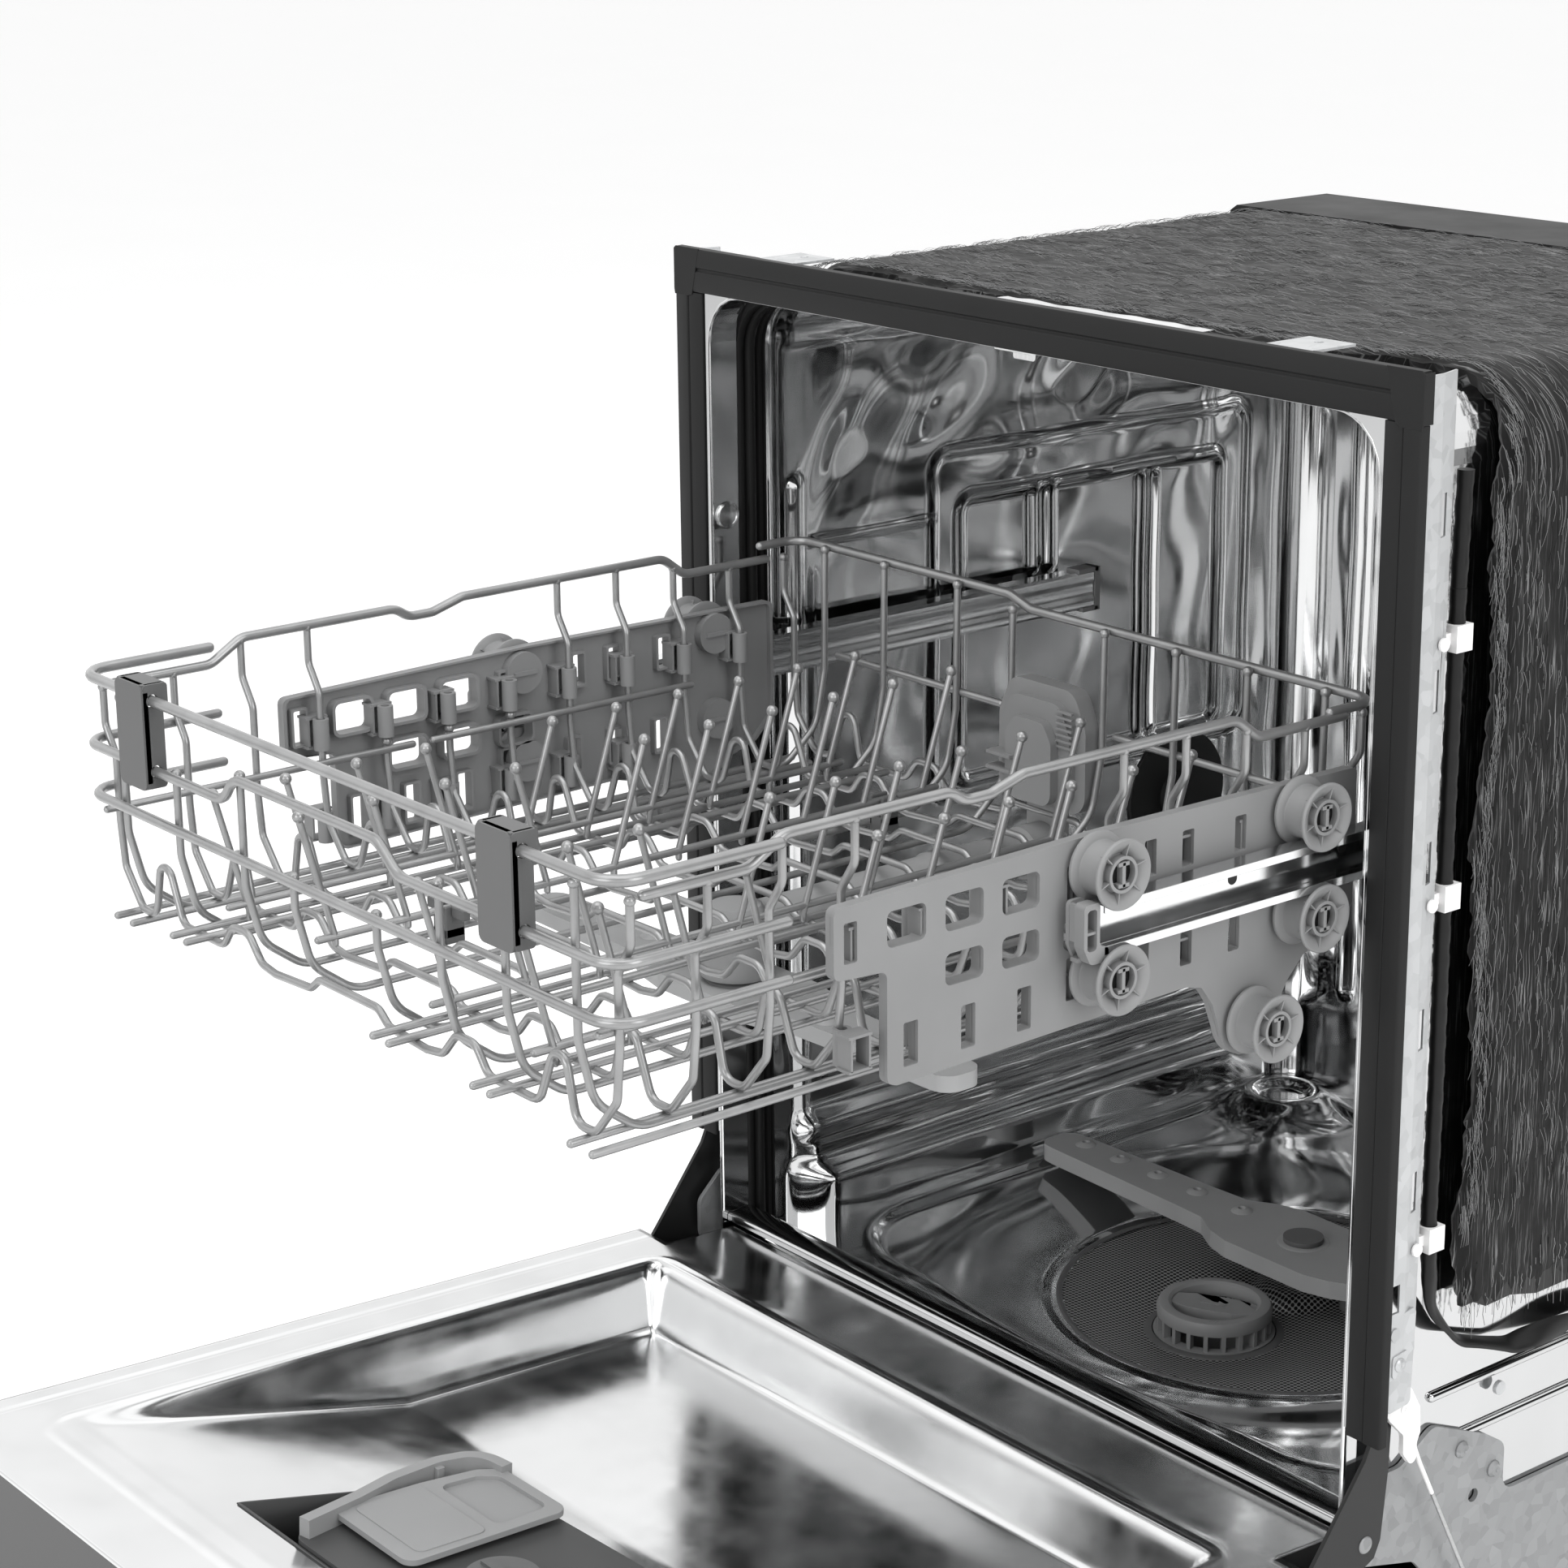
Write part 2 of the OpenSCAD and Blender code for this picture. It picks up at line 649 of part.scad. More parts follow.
// One round push button in the console's top edge
module button(x) {
    bar_z(door_h - 4.5, door_h + 0.8, x, -22, 2 * button_r);
    bar_z(door_h - 13, door_h - 4.4, x, -22, 2 * button_r - 3);
}
module button_power() color("#c9cbcc") door_pose() button(buttons_x[0]);
module button_start() color("#c9cbcc") door_pose() button(buttons_x[1]);

// ---- Upper rack ----

// Crossed wires under the dishes
module rack_floor_grid() color("#a4a6a8") placed() {
    y0 = -rack_front + 8;
    y1 = rack_rear - 18;
    for (i = [0:11])
        bar_x(-side_x + 3, side_x - 3, y0 + 6 + (y1 - y0 - 10) * i / 11, rack_floor, wire_d);
    for (x = [-200, -184, -100, -84, -8, 8, 84, 100, 184, 200])
        bar_y(y0, y1, x, rack_floor - wire_d + 0.6, wire_d);
}

// Four upright wire walls of the basket
module rack_walls() color("#a4a6a8") placed() {
    y0 = -rack_front + 2;
    both_sides() {
        for (z = [rim_z, rim_z - 66]) bar_y(y0 + 6, rack_rear - 6, side_x, z, wire_d);
        for (i = [0:11])
            bar_z(rack_floor + 6, rim_z, side_x, y0 + 12 + (rack_rear - y0 - 24) * i / 11, wire_d);
    }
    for (z = [rim_z, rim_z - 66]) bar_x(-side_x + 5, side_x - 5, y0, z, wire_d);
    bar_x(-side_x + 5, side_x - 5, rack_rear, rim_z, wire_d);
    both_sides() bar_x(40, side_x - 5, rack_rear, rim_z - 66, wire_d);
    for (i = [0:10]) {
        x = -side_x + 12 + (2 * side_x - 24) * i / 10;
        bar_z(rack_floor + 6, rim_z, x, y0, wire_d);
        if (abs(x) > 40) bar_z(rack_floor + 6, rim_z, x, rack_rear, wire_d);
    }
}

// One row of tines on its own lengthwise wire
module tine_row(x) {
    y0 = -rack_front + 40;
    z0 = rack_floor + 5;
    bar_y(y0 - 10, y0 + 44 * 9 + 10, x, z0, 4);
    for (i = [0:9]) bar_z(z0, z0 + 60, x, y0 + 44 * i, 3.6);
}

// Fixed rows of upright tines
module rack_tines() color("#a4a6a8") placed() for (x = [-140, 54, 140]) tine_row(x);

// Row of tines that folds flat
module folding_tines() color("#a4a6a8") placed() tine_row(fold_x);

// Outline of a rack side plate in Y and Z
module plate_outline() difference() {
    polygon(concat([[-328, 638], [-328, 606], [-295, 602], [-295, 548], [-84, 548], [-78, 532]],
        arc(support[0], support[1], 19.5, 190, 350), [[-22, 536], [6, 552], [22, 566], [22, 639]]));
    for (y = [-296, -260, -224]) translate([y, 613]) square([24, 18]);
    for (y = [-260, -224]) translate([y, 586]) square([24, 16]);
    for (y = [-286, -250, -214]) translate([y, 552]) square([9, 22]);
    for (y = [-130, -104, -67]) translate([y, 612]) square([8, 19]);
    for (y = [-134, -104, -70]) translate([y, 560]) square([8, 20]);
    translate([-322, 611]) square([8, 20]);
}

// Right-hand side plate with its wheel pins
module rack_plate_right_shape() {
    along_x(plate_x, plate_x + plate_t) plate_outline();
    for (w = wheels) {
        bar_x(plate_x + plate_t - 1, wheel_x1 + 0.2, w[0], w[1], 10);
        bar_x(plate_x + plate_t - 1, wheel_x0 - 0.3, w[0], w[1], 20);
        bar_x(wheel_x1 + 0.1, wheel_x1 + 1.2, w[0], w[1], 11.5);
    }
}
module rack_plate_right() color("#85888a") placed() rack_plate_right_shape();
module rack_plate_left() color("#85888a") placed() mirror([1, 0, 0]) rack_plate_right_shape();

// Clips on the rack's front wires
module rack_clips() color("#77797c") placed() for (x = [-175, 160]) {
    y1 = -rack_front + 2 - wire_d / 2 - 0.1;
    block([x - 14, y1 - 3, rim_z - 46], [x + 14, y1, rim_z + 8]);
}

// Duct that brings water from the docking port to the middle spray arm
module feed_duct() color("#7e8082") placed() difference() {
    union() {
        block([-36, rack_rear - 14, rack_floor + 4], [36, rack_rear - 4, 634]);
        bar_y(rack_rear - 8, rack_rear + 4.2, 0, rail_z - 5, 44);
        bar_y(middle_y, rack_rear - 6, 0, feed_z, 26);
        bar_z(middle_z + 4, feed_z + 13, 0, middle_y, 40);
        block([-14, rack_rear - 13, feed_z - 13], [14, rack_rear - 5, rack_floor + 6]);
        bar_z(middle_z - 10, middle_z + 5, 0, middle_y, 14);
        bar_z(middle_z - 13, middle_z - 9.5, 0, middle_y, 24);
    }
    bar_y(rack_rear - 12, rack_rear + 5, 0, rail_z - 5, 34);
}

// Middle spray arm, turning under the rack
module middle_spray_arm() color("#828486") placed() translate([0, middle_y, middle_z - 8])
    spray_arm(middle_arm_l, 56, 30, 9, 7.06);

// Steel rail of C section, open towards the tub wall, with its plastic ends
module rail_shape() {
    z0 = rail_z - rail_h / 2;
    z1 = rail_z + rail_h / 2;
    t = 1.2;
    difference() {
        along_y(rail_front, rail_rear) polygon([[rail_x0, z0], [rail_x1, z0], [rail_x1, z0 + 5],
            [rail_x1 - t, z0 + 5], [rail_x1 - t, z0 + t], [rail_x0 + t, z0 + t],
            [rail_x0 + t, z1 - t], [rail_x1 - t, z1 - t], [rail_x1 - t, z1 - 5],
            [rail_x1, z1 - 5], [rail_x1, z1], [rail_x0, z1]]);
        for (y = [-75.5, 4.5]) bar_x(rail_x0 - 1, rail_x0 + t + 1, y, rail_z + 2, 7);
    }
    block([rail_x0, rail_front - 14, z0 - 3], [rail_x1, rail_front + eps, z1 + 3]);
    block([rail_x0, rail_rear - eps, z0 - 2], [rail_x1, rail_rear + 6, z1 + 2]);
}
module rail_right() color("#c9ccce") placed() rail_shape();
module rail_left() color("#c9ccce") placed() mirror([1, 0, 0]) rail_shape();

// A left and right pair of double-flanged wheels on one axis
module wheel_pair(place) placed() both_sides()
    translate([wheel_x0, place[0], place[1]]) rotate([0, 90, 0]) difference() {
        w = wheel_x1 - wheel_x0;
        union() {
            cylinder(r = wheel_r, h = 3);
            cylinder(r = tread_r, h = w);
            translate([0, 0, w - 3]) cylinder(r = wheel_r, h = 3);
        }
        translate([0, 0, -1]) cylinder(r = 5.06, h = w + 2);
    }
module upper_front_wheels() color("#8f9294") wheel_pair(upper_front);
module upper_rear_wheels() color("#8f9294") wheel_pair(upper_rear);
module lower_front_wheels() color("#8f9294") wheel_pair(lower_front);
module lower_rear_wheels() color("#8f9294") wheel_pair(lower_rear);
module support_wheels() color("#8f9294") wheel_pair(support);

base_tray();
base_brackets();
leveling_feet();
toe_kick();
tub_wrapper();
tub_back();
tub_floor();
sump();
filter_plate();
side_flanges();
side_trims();
trim_top();
door_gasket();
insulation_blanket();
rear_top_channel();
wash_pump();
drain_pump();
inlet_valve();
junction_box();
harness();
harness_clips();
vent_cap();
latch_strike();
rail_guides();
arm_support();
docking_port();
counter_brackets();
cabinet_screws();
cord_pulleys();
balance_springs();
door_panel();
door_liner();
console();
control_board();
hinge_arms();
dispenser_housing();
door_latch();
button_power();
button_start();
dispenser_lid();
rinse_cap();
balance_links();
filter_cylinder();
lower_spray_arm();
rack_floor_grid();
rack_walls();
rack_tines();
folding_tines();
rack_plate_left();
rack_plate_right();
rack_clips();
feed_duct();
middle_spray_arm();
rail_left();
rail_right();
upper_front_wheels();
upper_rear_wheels();
lower_front_wheels();
lower_rear_wheels();
support_wheels();
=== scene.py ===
"""Looks of the built-in dishwasher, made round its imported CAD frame.

Places are written in millimetres in the machine's own frame: X to the right, Y back from the
front face of the trim, Z up from the floor. at() turns them into the frame's metres.
"""

import math

import bmesh
import bpy
import numpy as np
from mathutils import Matrix, Vector
from mathutils.geometry import tessellate_polygon


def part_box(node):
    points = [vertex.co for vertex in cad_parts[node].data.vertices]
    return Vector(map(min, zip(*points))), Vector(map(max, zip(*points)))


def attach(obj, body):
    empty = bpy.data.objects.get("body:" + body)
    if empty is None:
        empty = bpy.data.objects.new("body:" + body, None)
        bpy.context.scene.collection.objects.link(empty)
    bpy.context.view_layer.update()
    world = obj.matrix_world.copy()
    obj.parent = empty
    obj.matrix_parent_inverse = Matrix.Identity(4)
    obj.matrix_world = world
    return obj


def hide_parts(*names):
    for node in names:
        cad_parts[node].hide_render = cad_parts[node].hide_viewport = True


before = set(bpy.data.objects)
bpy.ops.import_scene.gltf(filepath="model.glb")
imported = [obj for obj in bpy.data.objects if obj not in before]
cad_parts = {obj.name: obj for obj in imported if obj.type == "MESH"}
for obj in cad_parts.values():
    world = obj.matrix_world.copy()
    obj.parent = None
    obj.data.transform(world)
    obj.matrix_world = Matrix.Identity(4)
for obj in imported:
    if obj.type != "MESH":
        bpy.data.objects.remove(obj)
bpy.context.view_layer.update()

MM = 0.001
TRIM_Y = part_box("side_trims")[1].y


def at(x, y, z):
    """A place in the machine's millimetres as a point of the frame, in metres."""
    return Vector((x * MM, y * MM + TRIM_Y, z * MM))


def low(node):
    """Lowest corner of a CAD node, in the machine's millimetres."""
    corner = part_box(node)[0]
    return Vector((corner.x, corner.y - TRIM_Y, corner.z)) / MM


def high(node):
    """Highest corner of a CAD node, in the machine's millimetres."""
    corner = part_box(node)[1]
    return Vector((corner.x, corner.y - TRIM_Y, corner.z)) / MM


# Driving places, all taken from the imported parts
HALF_W = high("side_trims").x
TOP_Z = high("trim_top").z
TUB_X = high("door_gasket").x
TUB_TOP = high("door_gasket").z
BACK_Y = low("tub_back").y
NECK_X = TUB_X - 8
NECK_TOP = TUB_TOP - 3
STEP_Y = low("door_gasket").y
GASKET_Y = high("door_gasket").y
FLOOR_Z = low("tub_floor").z + 3
FILTER_R = high("filter_plate").x
FILTER_Z = high("filter_plate").z
FILTER_Y = (low("filter_cylinder").y + high("filter_cylinder").y) / 2
DISC_Y = (low("filter_plate").y + high("filter_plate").y) / 2
ARM_Y = (low("lower_spray_arm").y + high("lower_spray_arm").y) / 2
RACK_X = high("rack_walls").x - 2.3
RIM_Z = high("rack_walls").z - 2.3
RACK_FRONT = low("rack_walls").y + 2.3
RACK_BACK = high("rack_walls").y - 2.3
RACK_FLOOR = high("rack_floor_grid").z - 2.3


class Shape:
    """Vertices and faces gathered for one piece."""

    def __init__(self):
        self.verts = []
        self.faces = []

    def add(self, verts, faces):
        base = len(self.verts)
        self.verts.extend(verts)
        self.faces.extend(tuple(base + i for i in face) for face in faces)


def piece(name, shape, material, body, replaces=(), bevel=0.0, angle=35, thick=0.0):
    """Makes the object, softens its edges and lets it ride on a body."""
    mesh = bpy.data.meshes.new(name)
    mesh.from_pydata([tuple(v) for v in shape.verts], [], shape.faces)
    mesh.validate()
    work = bmesh.new()
    work.from_mesh(mesh)
    bmesh.ops.remove_doubles(work, verts=work.verts, dist=1e-6)
    bmesh.ops.recalc_face_normals(work, faces=work.faces)
    work.to_mesh(mesh)
    work.free()
    obj = bpy.data.objects.new(name, mesh)
    bpy.context.scene.collection.objects.link(obj)
    mesh.materials.append(material)
    mesh.shade_smooth()
    mesh.set_sharp_from_angle(angle=math.radians(angle))
    if thick:
        wall = obj.modifiers.new("wall", "SOLIDIFY")
        wall.thickness = thick * MM
        wall.offset = 0
    if bevel:
        soften(obj, bevel, angle)
    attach(obj, body)
    if replaces:
        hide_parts(*replaces)
    return obj


def soften(obj, width, angle=35):
    """Rounds the piece's sharp edges."""
    edge = obj.modifiers.new("soft_edges", "BEVEL")
    edge.width = width * MM
    edge.segments = 2
    edge.limit_method = "ANGLE"
    edge.angle_limit = math.radians(angle)
    edge.harden_normals = True


def rounded(points, radius, steps=5):
    """The same path with its corners turned into arcs; radius is in the points' own unit."""
    path = [points[0]]
    for before, corner, after in zip(points, points[1:], points[2:]):
        back, ahead = before - corner, after - corner
        turn = math.pi - back.angle(ahead)
        if turn < 0.03:
            path.append(corner)
            continue
        reach = min(radius * math.tan(turn / 2), 0.49 * back.length, 0.49 * ahead.length)
        back.normalize()
        ahead.normalize()
        centre = corner + (back + ahead).normalized() * (reach / math.sin(turn / 2))
        first = corner + back * reach - centre
        last = corner + ahead * reach - centre
        path += [centre + first.slerp(last, i / steps) * first.length for i in range(steps + 1)]
    path.append(points[-1])
    return path


def loop2(points, radius=0, steps=4):
    """A closed 2-D outline with rounded corners."""
    if not radius:
        return [Vector((a, b, 0)) for a, b in points]
    ring = [Vector((a, b, 0)) for a, b in points]
    middle = (ring[0] + ring[-1]) / 2
    return rounded([middle] + ring + [middle], radius, steps)[1:-1]


def box2(a0, b0, a1, b1, radius=0, steps=4):
    """A rectangle's outline, with rounded corners."""
    return loop2([(a0, b0), (a1, b0), (a1, b1), (a0, b1)], radius, steps)


def circle2(a, b, radius, sides=24):
    """A circle's outline."""
    turns = [2 * math.pi * i / sides for i in range(sides)]
    return [Vector((a + radius * math.cos(t), b + radius * math.sin(t), 0)) for t in turns]


def facing_x(a, b, t):
    """Places an outline drawn in Y and Z at X = t."""
    return at(t, a, b)


def facing_y(a, b, t):
    """Places an outline drawn in X and Z at Y = t."""
    return at(a, t, b)


def facing_z(a, b, t):
    """Places an outline drawn in X and Y at Z = t."""
    return at(a, b, t)


def slab(shape, outline, t0, t1, place, holes=()):
    """A flat plate with holes, between two levels t0 and t1."""
    loops = [list(outline)] + [list(h) for h in holes]
    flat = [p for ring in loops for p in ring]
    count = len(flat)
    verts = [place(p.x, p.y, t0) for p in flat] + [place(p.x, p.y, t1) for p in flat]
    faces = []
    for tri in tessellate_polygon(loops):
        faces.append(tuple(reversed(tri)))
        faces.append(tuple(i + count for i in tri))
    start = 0
    for ring in loops:
        size = len(ring)
        for i in range(size):
            j = (i + 1) % size
            faces.append((start + i, start + j, start + j + count, start + i + count))
        start += size
    shape.add(verts, faces)


def block(shape, corner0, corner1, place=at):
    """A box between two corners."""
    xs, ys, zs = zip(corner0, corner1)
    verts = [place(xs[i], ys[j], zs[k]) for i in (0, 1) for j in (0, 1) for k in (0, 1)]
    shape.add(verts, [(0, 1, 3, 2), (4, 6, 7, 5), (0, 4, 5, 1), (2, 3, 7, 6), (0, 2, 6, 4), (1, 5, 7, 3)])


def lathe(shape, profile, place, sides=40):
    """Turns a closed profile of (radius, along) round an axis; place maps (across, up, along)."""
    verts = []
    for i in range(sides):
        turn = 2 * math.pi * i / sides
        verts += [place(r * math.cos(turn), r * math.sin(turn), along) for r, along in profile]
    size = len(profile)
    faces = []
    for i in range(sides):
        j = (i + 1) % sides
        for k in range(size):
            m = (k + 1) % size
            if profile[k][0] < 1e-6 and profile[m][0] < 1e-6:
                continue
            quad = [i * size + k, j * size + k, j * size + m, i * size + m]
            if profile[k][0] < 1e-6:
                quad.pop(1)
            elif profile[m][0] < 1e-6:
                quad.pop(2)
            faces.append(tuple(quad))
    shape.add(verts, faces)


def ball(shape, centre, radius, rings=7, sides=12):
    """A sphere; centre and radius in metres."""
    profile = []
    for k in range(rings + 1):
        turn = math.pi * k / rings
        profile.append((radius * math.sin(turn), -radius * math.cos(turn)))
    lathe(shape, profile, lambda a, b, c: centre + Vector((a, b, c)), sides)


def tube(shape, points, d, bend=7, sides=10, balls=(0, 0), steps=5):
    """A round wire through points in metres. d, bend and the end balls' diameters are in mm."""
    path = rounded(points, bend * MM, steps) if bend else list(points)
    clean = [path[0]]
    for p in path[1:]:
        if (p - clean[-1]).length > 2e-5:
            clean.append(p)
    radius = d * MM / 2
    ahead = [(b - a).normalized() for a, b in zip(clean, clean[1:])]
    tangents = [ahead[0]] + [(a + b).normalized() for a, b in zip(ahead, ahead[1:])] + [ahead[-1]]
    side = ahead[0].orthogonal().normalized()
    rings = []
    previous = tangents[0]
    frames = []
    for tangent in tangents:
        side = previous.rotation_difference(tangent) @ side
        side = (side - tangent * side.dot(tangent)).normalized()
        frames.append((side, tangent.cross(side)))
        previous = tangent

    def ring(centre, across, up, r):
        turns = [2 * math.pi * i / sides for i in range(sides)]
        return [centre + (across * math.cos(t) + up * math.sin(t)) * r for t in turns]

    for tilt in (75, 45, 20):
        a = math.radians(tilt)
        rings.append(ring(clean[0] - tangents[0] * radius * math.sin(a), *frames[0], radius * math.cos(a)))
    for centre, (across, up) in zip(clean, frames):
        rings.append(ring(centre, across, up, radius))
    for tilt in (20, 45, 75):
        a = math.radians(tilt)
        rings.append(ring(clean[-1] + tangents[-1] * radius * math.sin(a), *frames[-1], radius * math.cos(a)))
    sweep(shape, rings)
    for end, size in ((clean[0], balls[0]), (clean[-1], balls[1])):
        if size:
            ball(shape, end, size * MM / 2)


def sweep(shape, rows, clockwise=False):
    """Joins closed rows of points into one capped, watertight solid."""
    count = len(rows[0])
    last = (len(rows) - 1) * count
    caps = [tuple(range(count)), tuple(range(last + count - 1, last - 1, -1))]
    faces = caps if clockwise else [cap[::-1] for cap in caps]
    for start in range(0, last, count):
        for k in range(count):
            m = (k + 1) % count
            faces.append((start + k, start + m, start + count + m, start + count + k))
    shape.add([p for row in rows for p in row], faces)


def prism(shape, base, tops):
    """A closed block between two ends of four corners each."""
    shape.add(base + tops, [(3, 2, 1, 0), (4, 5, 6, 7), (0, 1, 5, 4), (1, 2, 6, 5), (2, 3, 7, 6),
                            (3, 0, 4, 7)])


def field(shape, points, keep=None):
    """A sheet from an array of points, rows by columns by 3, in metres; keep says which cells stay."""
    rows, columns = points.shape[:2]
    index = np.arange(rows * columns).reshape(rows, columns)
    quads = np.stack([index[:-1, :-1], index[:-1, 1:], index[1:, 1:], index[1:, :-1]], -1)
    if keep is not None:
        quads = quads[keep]
    shape.add([Vector(p) for p in points.reshape(-1, 3)], [tuple(q) for q in quads.reshape(-1, 4).tolist()])


def smooth(t):
    """Goes from 0 to 1 with soft ends."""
    t = np.clip(t, 0, 1)
    return t * t * (3 - 2 * t)


def box_distance(a, b, a0, a1, b0, b1, r):
    """Distance from a rounded rectangle's outline, below zero inside it."""
    qa = np.abs(a - (a0 + a1) / 2) - (a1 - a0) / 2 + r
    qb = np.abs(b - (b0 + b1) / 2) - (b1 - b0) / 2 + r
    outside = np.hypot(np.maximum(qa, 0), np.maximum(qb, 0))
    return outside + np.minimum(np.maximum(qa, qb), 0) - r


def rib(distance, width, height):
    """A rounded bead along a line, from the distance to that line."""
    return height * smooth(1 - np.abs(distance) / width)


def segment_distance(a, b, a0, b0, a1, b1):
    """Distance from a straight line between two points."""
    da, db = a1 - a0, b1 - b0
    t = np.clip(((a - a0) * da + (b - b0) * db) / (da * da + db * db), 0, 1)
    return np.hypot(a - a0 - t * da, b - b0 - t * db)


def waves(a, b, size, seed):
    """Gentle uneven ripples of a pressed sheet, from -1 to 1, with this rough size."""
    total = 0
    pick = np.random.default_rng(seed)
    for _ in range(7):
        turn = pick.uniform(0, 2 * math.pi)
        length = size * pick.uniform(0.7, 1.7)
        phase = pick.uniform(0, 2 * math.pi)
        along = a * math.cos(turn) + b * math.sin(turn)
        total = total + np.sin(2 * math.pi * along / length + phase)
    return total / 7


# ---- Materials ----

def principled(name, rough, metal=0.0, coat=0.0, specular=0.5):
    """An empty finish: the material, its node tree, its shader and its surface coordinates."""
    mat = bpy.data.materials.new(name)
    mat.use_nodes = True
    tree = mat.node_tree
    tree.nodes.clear()
    out = tree.nodes.new("ShaderNodeOutputMaterial")
    shader = tree.nodes.new("ShaderNodeBsdfPrincipled")
    tree.links.new(shader.outputs[0], out.inputs[0])
    shader.inputs["Roughness"].default_value = rough
    shader.inputs["Metallic"].default_value = metal
    shader.inputs["Coat Weight"].default_value = coat
    shader.inputs["Coat Roughness"].default_value = 0.15
    shader.inputs["Specular IOR Level"].default_value = specular
    place = tree.nodes.new("ShaderNodeTexCoord").outputs["Object"]
    return mat, tree, shader, place


def grain(tree, place, scale, stretch=(1, 1, 1), detail=3.0):
    """Uneven noise, stretched along an axis where its scale is small."""
    shift = tree.nodes.new("ShaderNodeMapping")
    shift.inputs["Scale"].default_value = stretch
    cloud = tree.nodes.new("ShaderNodeTexNoise")
    cloud.inputs["Scale"].default_value = scale
    cloud.inputs["Detail"].default_value = detail
    tree.links.new(place, shift.inputs["Vector"])
    tree.links.new(shift.outputs[0], cloud.inputs["Vector"])
    return cloud.outputs["Fac"]


def cells(tree, place, scale, feature="F1", randomness=1.0, stretch=(1, 1, 1)):
    """Cells of a Voronoi pattern: the distance, and the colour of each cell."""
    shift = tree.nodes.new("ShaderNodeMapping")
    shift.inputs["Scale"].default_value = stretch
    cell = tree.nodes.new("ShaderNodeTexVoronoi")
    cell.feature = feature
    cell.inputs["Scale"].default_value = scale
    cell.inputs["Randomness"].default_value = randomness
    tree.links.new(place, shift.inputs["Vector"])
    tree.links.new(shift.outputs[0], cell.inputs["Vector"])
    return cell.outputs["Distance"], cell.outputs.get("Color")


def between(tree, value, low_in, high_in, low_out, high_out):
    """Turns a range of values into another."""
    remap = tree.nodes.new("ShaderNodeMapRange")
    for socket, number in zip(remap.inputs[1:5], (low_in, high_in, low_out, high_out)):
        socket.default_value = number
    tree.links.new(value, remap.inputs[0])
    return remap.outputs[0]


def combine(tree, operation, first, second):
    """Combines two values with one arithmetic step."""
    both = tree.nodes.new("ShaderNodeMath")
    both.operation = operation
    tree.links.new(first, both.inputs[0])
    tree.links.new(second, both.inputs[1])
    return both.outputs[0]


def tint(tree, shader, amount, dark, light):
    """Colours the surface from dark to light by an amount."""
    blend = tree.nodes.new("ShaderNodeMix")
    blend.data_type = "RGBA"
    blend.inputs["A"].default_value = (*dark, 1)
    blend.inputs["B"].default_value = (*light, 1)
    tree.links.new(amount, blend.inputs["Factor"])
    tree.links.new(blend.outputs["Result"], shader.inputs["Base Color"])


def relief(tree, shader, heights):
    """Adds fine relief; heights are pairs of a value and its depth in mm."""
    before = None
    for value, depth in heights:
        bump = tree.nodes.new("ShaderNodeBump")
        bump.inputs["Distance"].default_value = depth * MM
        tree.links.new(value, bump.inputs["Height"])
        if before:
            tree.links.new(before, bump.inputs["Normal"])
        before = bump.outputs[0]
    tree.links.new(before, shader.inputs["Normal"])


def grey(level, cool=0.01):
    """A neutral grey, very slightly cool."""
    return (level, level * (1 + cool * 0.6), level * (1 + cool))


def polished_steel(name, level, rough, ripple=0.4, scratch=(1, 1, 1)):
    """Bright pressed stainless: soft ripples, faint drawing lines and wiped patches."""
    mat, tree, shader, place = principled(name, rough, metal=1.0)
    wiped = grain(tree, place, 9, detail=4)
    tint(tree, shader, between(tree, wiped, 0.3, 0.7, 0, 1), grey(level * 0.93), grey(level))
    fine = grain(tree, place, 420, scratch, 2)
    patchy = between(tree, grain(tree, place, 30, detail=5), 0.25, 0.75, rough * 0.6, rough * 1.5)
    tree.links.new(patchy, shader.inputs["Roughness"])
    relief(tree, shader, [(grain(tree, place, 16, detail=1), ripple), (fine, 0.0012)])
    return mat


def brushed_steel(name, level, along, rough=0.32):
    """Steel with a straight grain; along is the stretch of that grain."""
    mat, tree, shader, place = principled(name, rough, metal=1.0)
    lines = grain(tree, place, 500, along, 3)
    tint(tree, shader, between(tree, lines, 0.3, 0.7, 0, 1), grey(level * 0.82), grey(level))
    tree.links.new(between(tree, lines, 0.3, 0.7, rough * 0.8, rough * 1.25), shader.inputs["Roughness"])
    relief(tree, shader, [(lines, 0.02)])
    return mat


def zinc_sheet(name, level, rough=0.42, metal=0.75):
    """Galvanised sheet: large pale crystals with soft borders."""
    mat, tree, shader, place = principled(name, rough, metal=metal)
    _, crystal = cells(tree, place, 130)
    split = tree.nodes.new("ShaderNodeSeparateColor")
    tree.links.new(crystal, split.inputs[0])
    tint(tree, shader, split.outputs[0], grey(level * 0.84, 0.03), grey(level, 0.03))
    tree.links.new(between(tree, split.outputs[1], 0, 1, rough * 0.75, rough * 1.2),
                   shader.inputs["Roughness"])
    relief(tree, shader, [(grain(tree, place, 700), 0.02), (grain(tree, place, 12), 0.3)])
    return mat


def moulded(name, level, rough=0.42, speckle=0.02, cool=0.015, coat=0.0, specular=0.4):
    """Moulded plastic: a faint spark-eroded grain, and slow changes of tone and gloss."""
    mat, tree, shader, place = principled(name, rough, coat=coat, specular=specular)
    slow = grain(tree, place, 14, detail=3)
    tint(tree, shader, between(tree, slow, 0.3, 0.7, 0, 1), grey(level * 0.9, cool), grey(level * 1.06, cool))
    tree.links.new(between(tree, slow, 0.3, 0.7, rough * 0.85, rough * 1.15), shader.inputs["Roughness"])
    relief(tree, shader, [(grain(tree, place, 1500, detail=2), speckle)])
    return mat


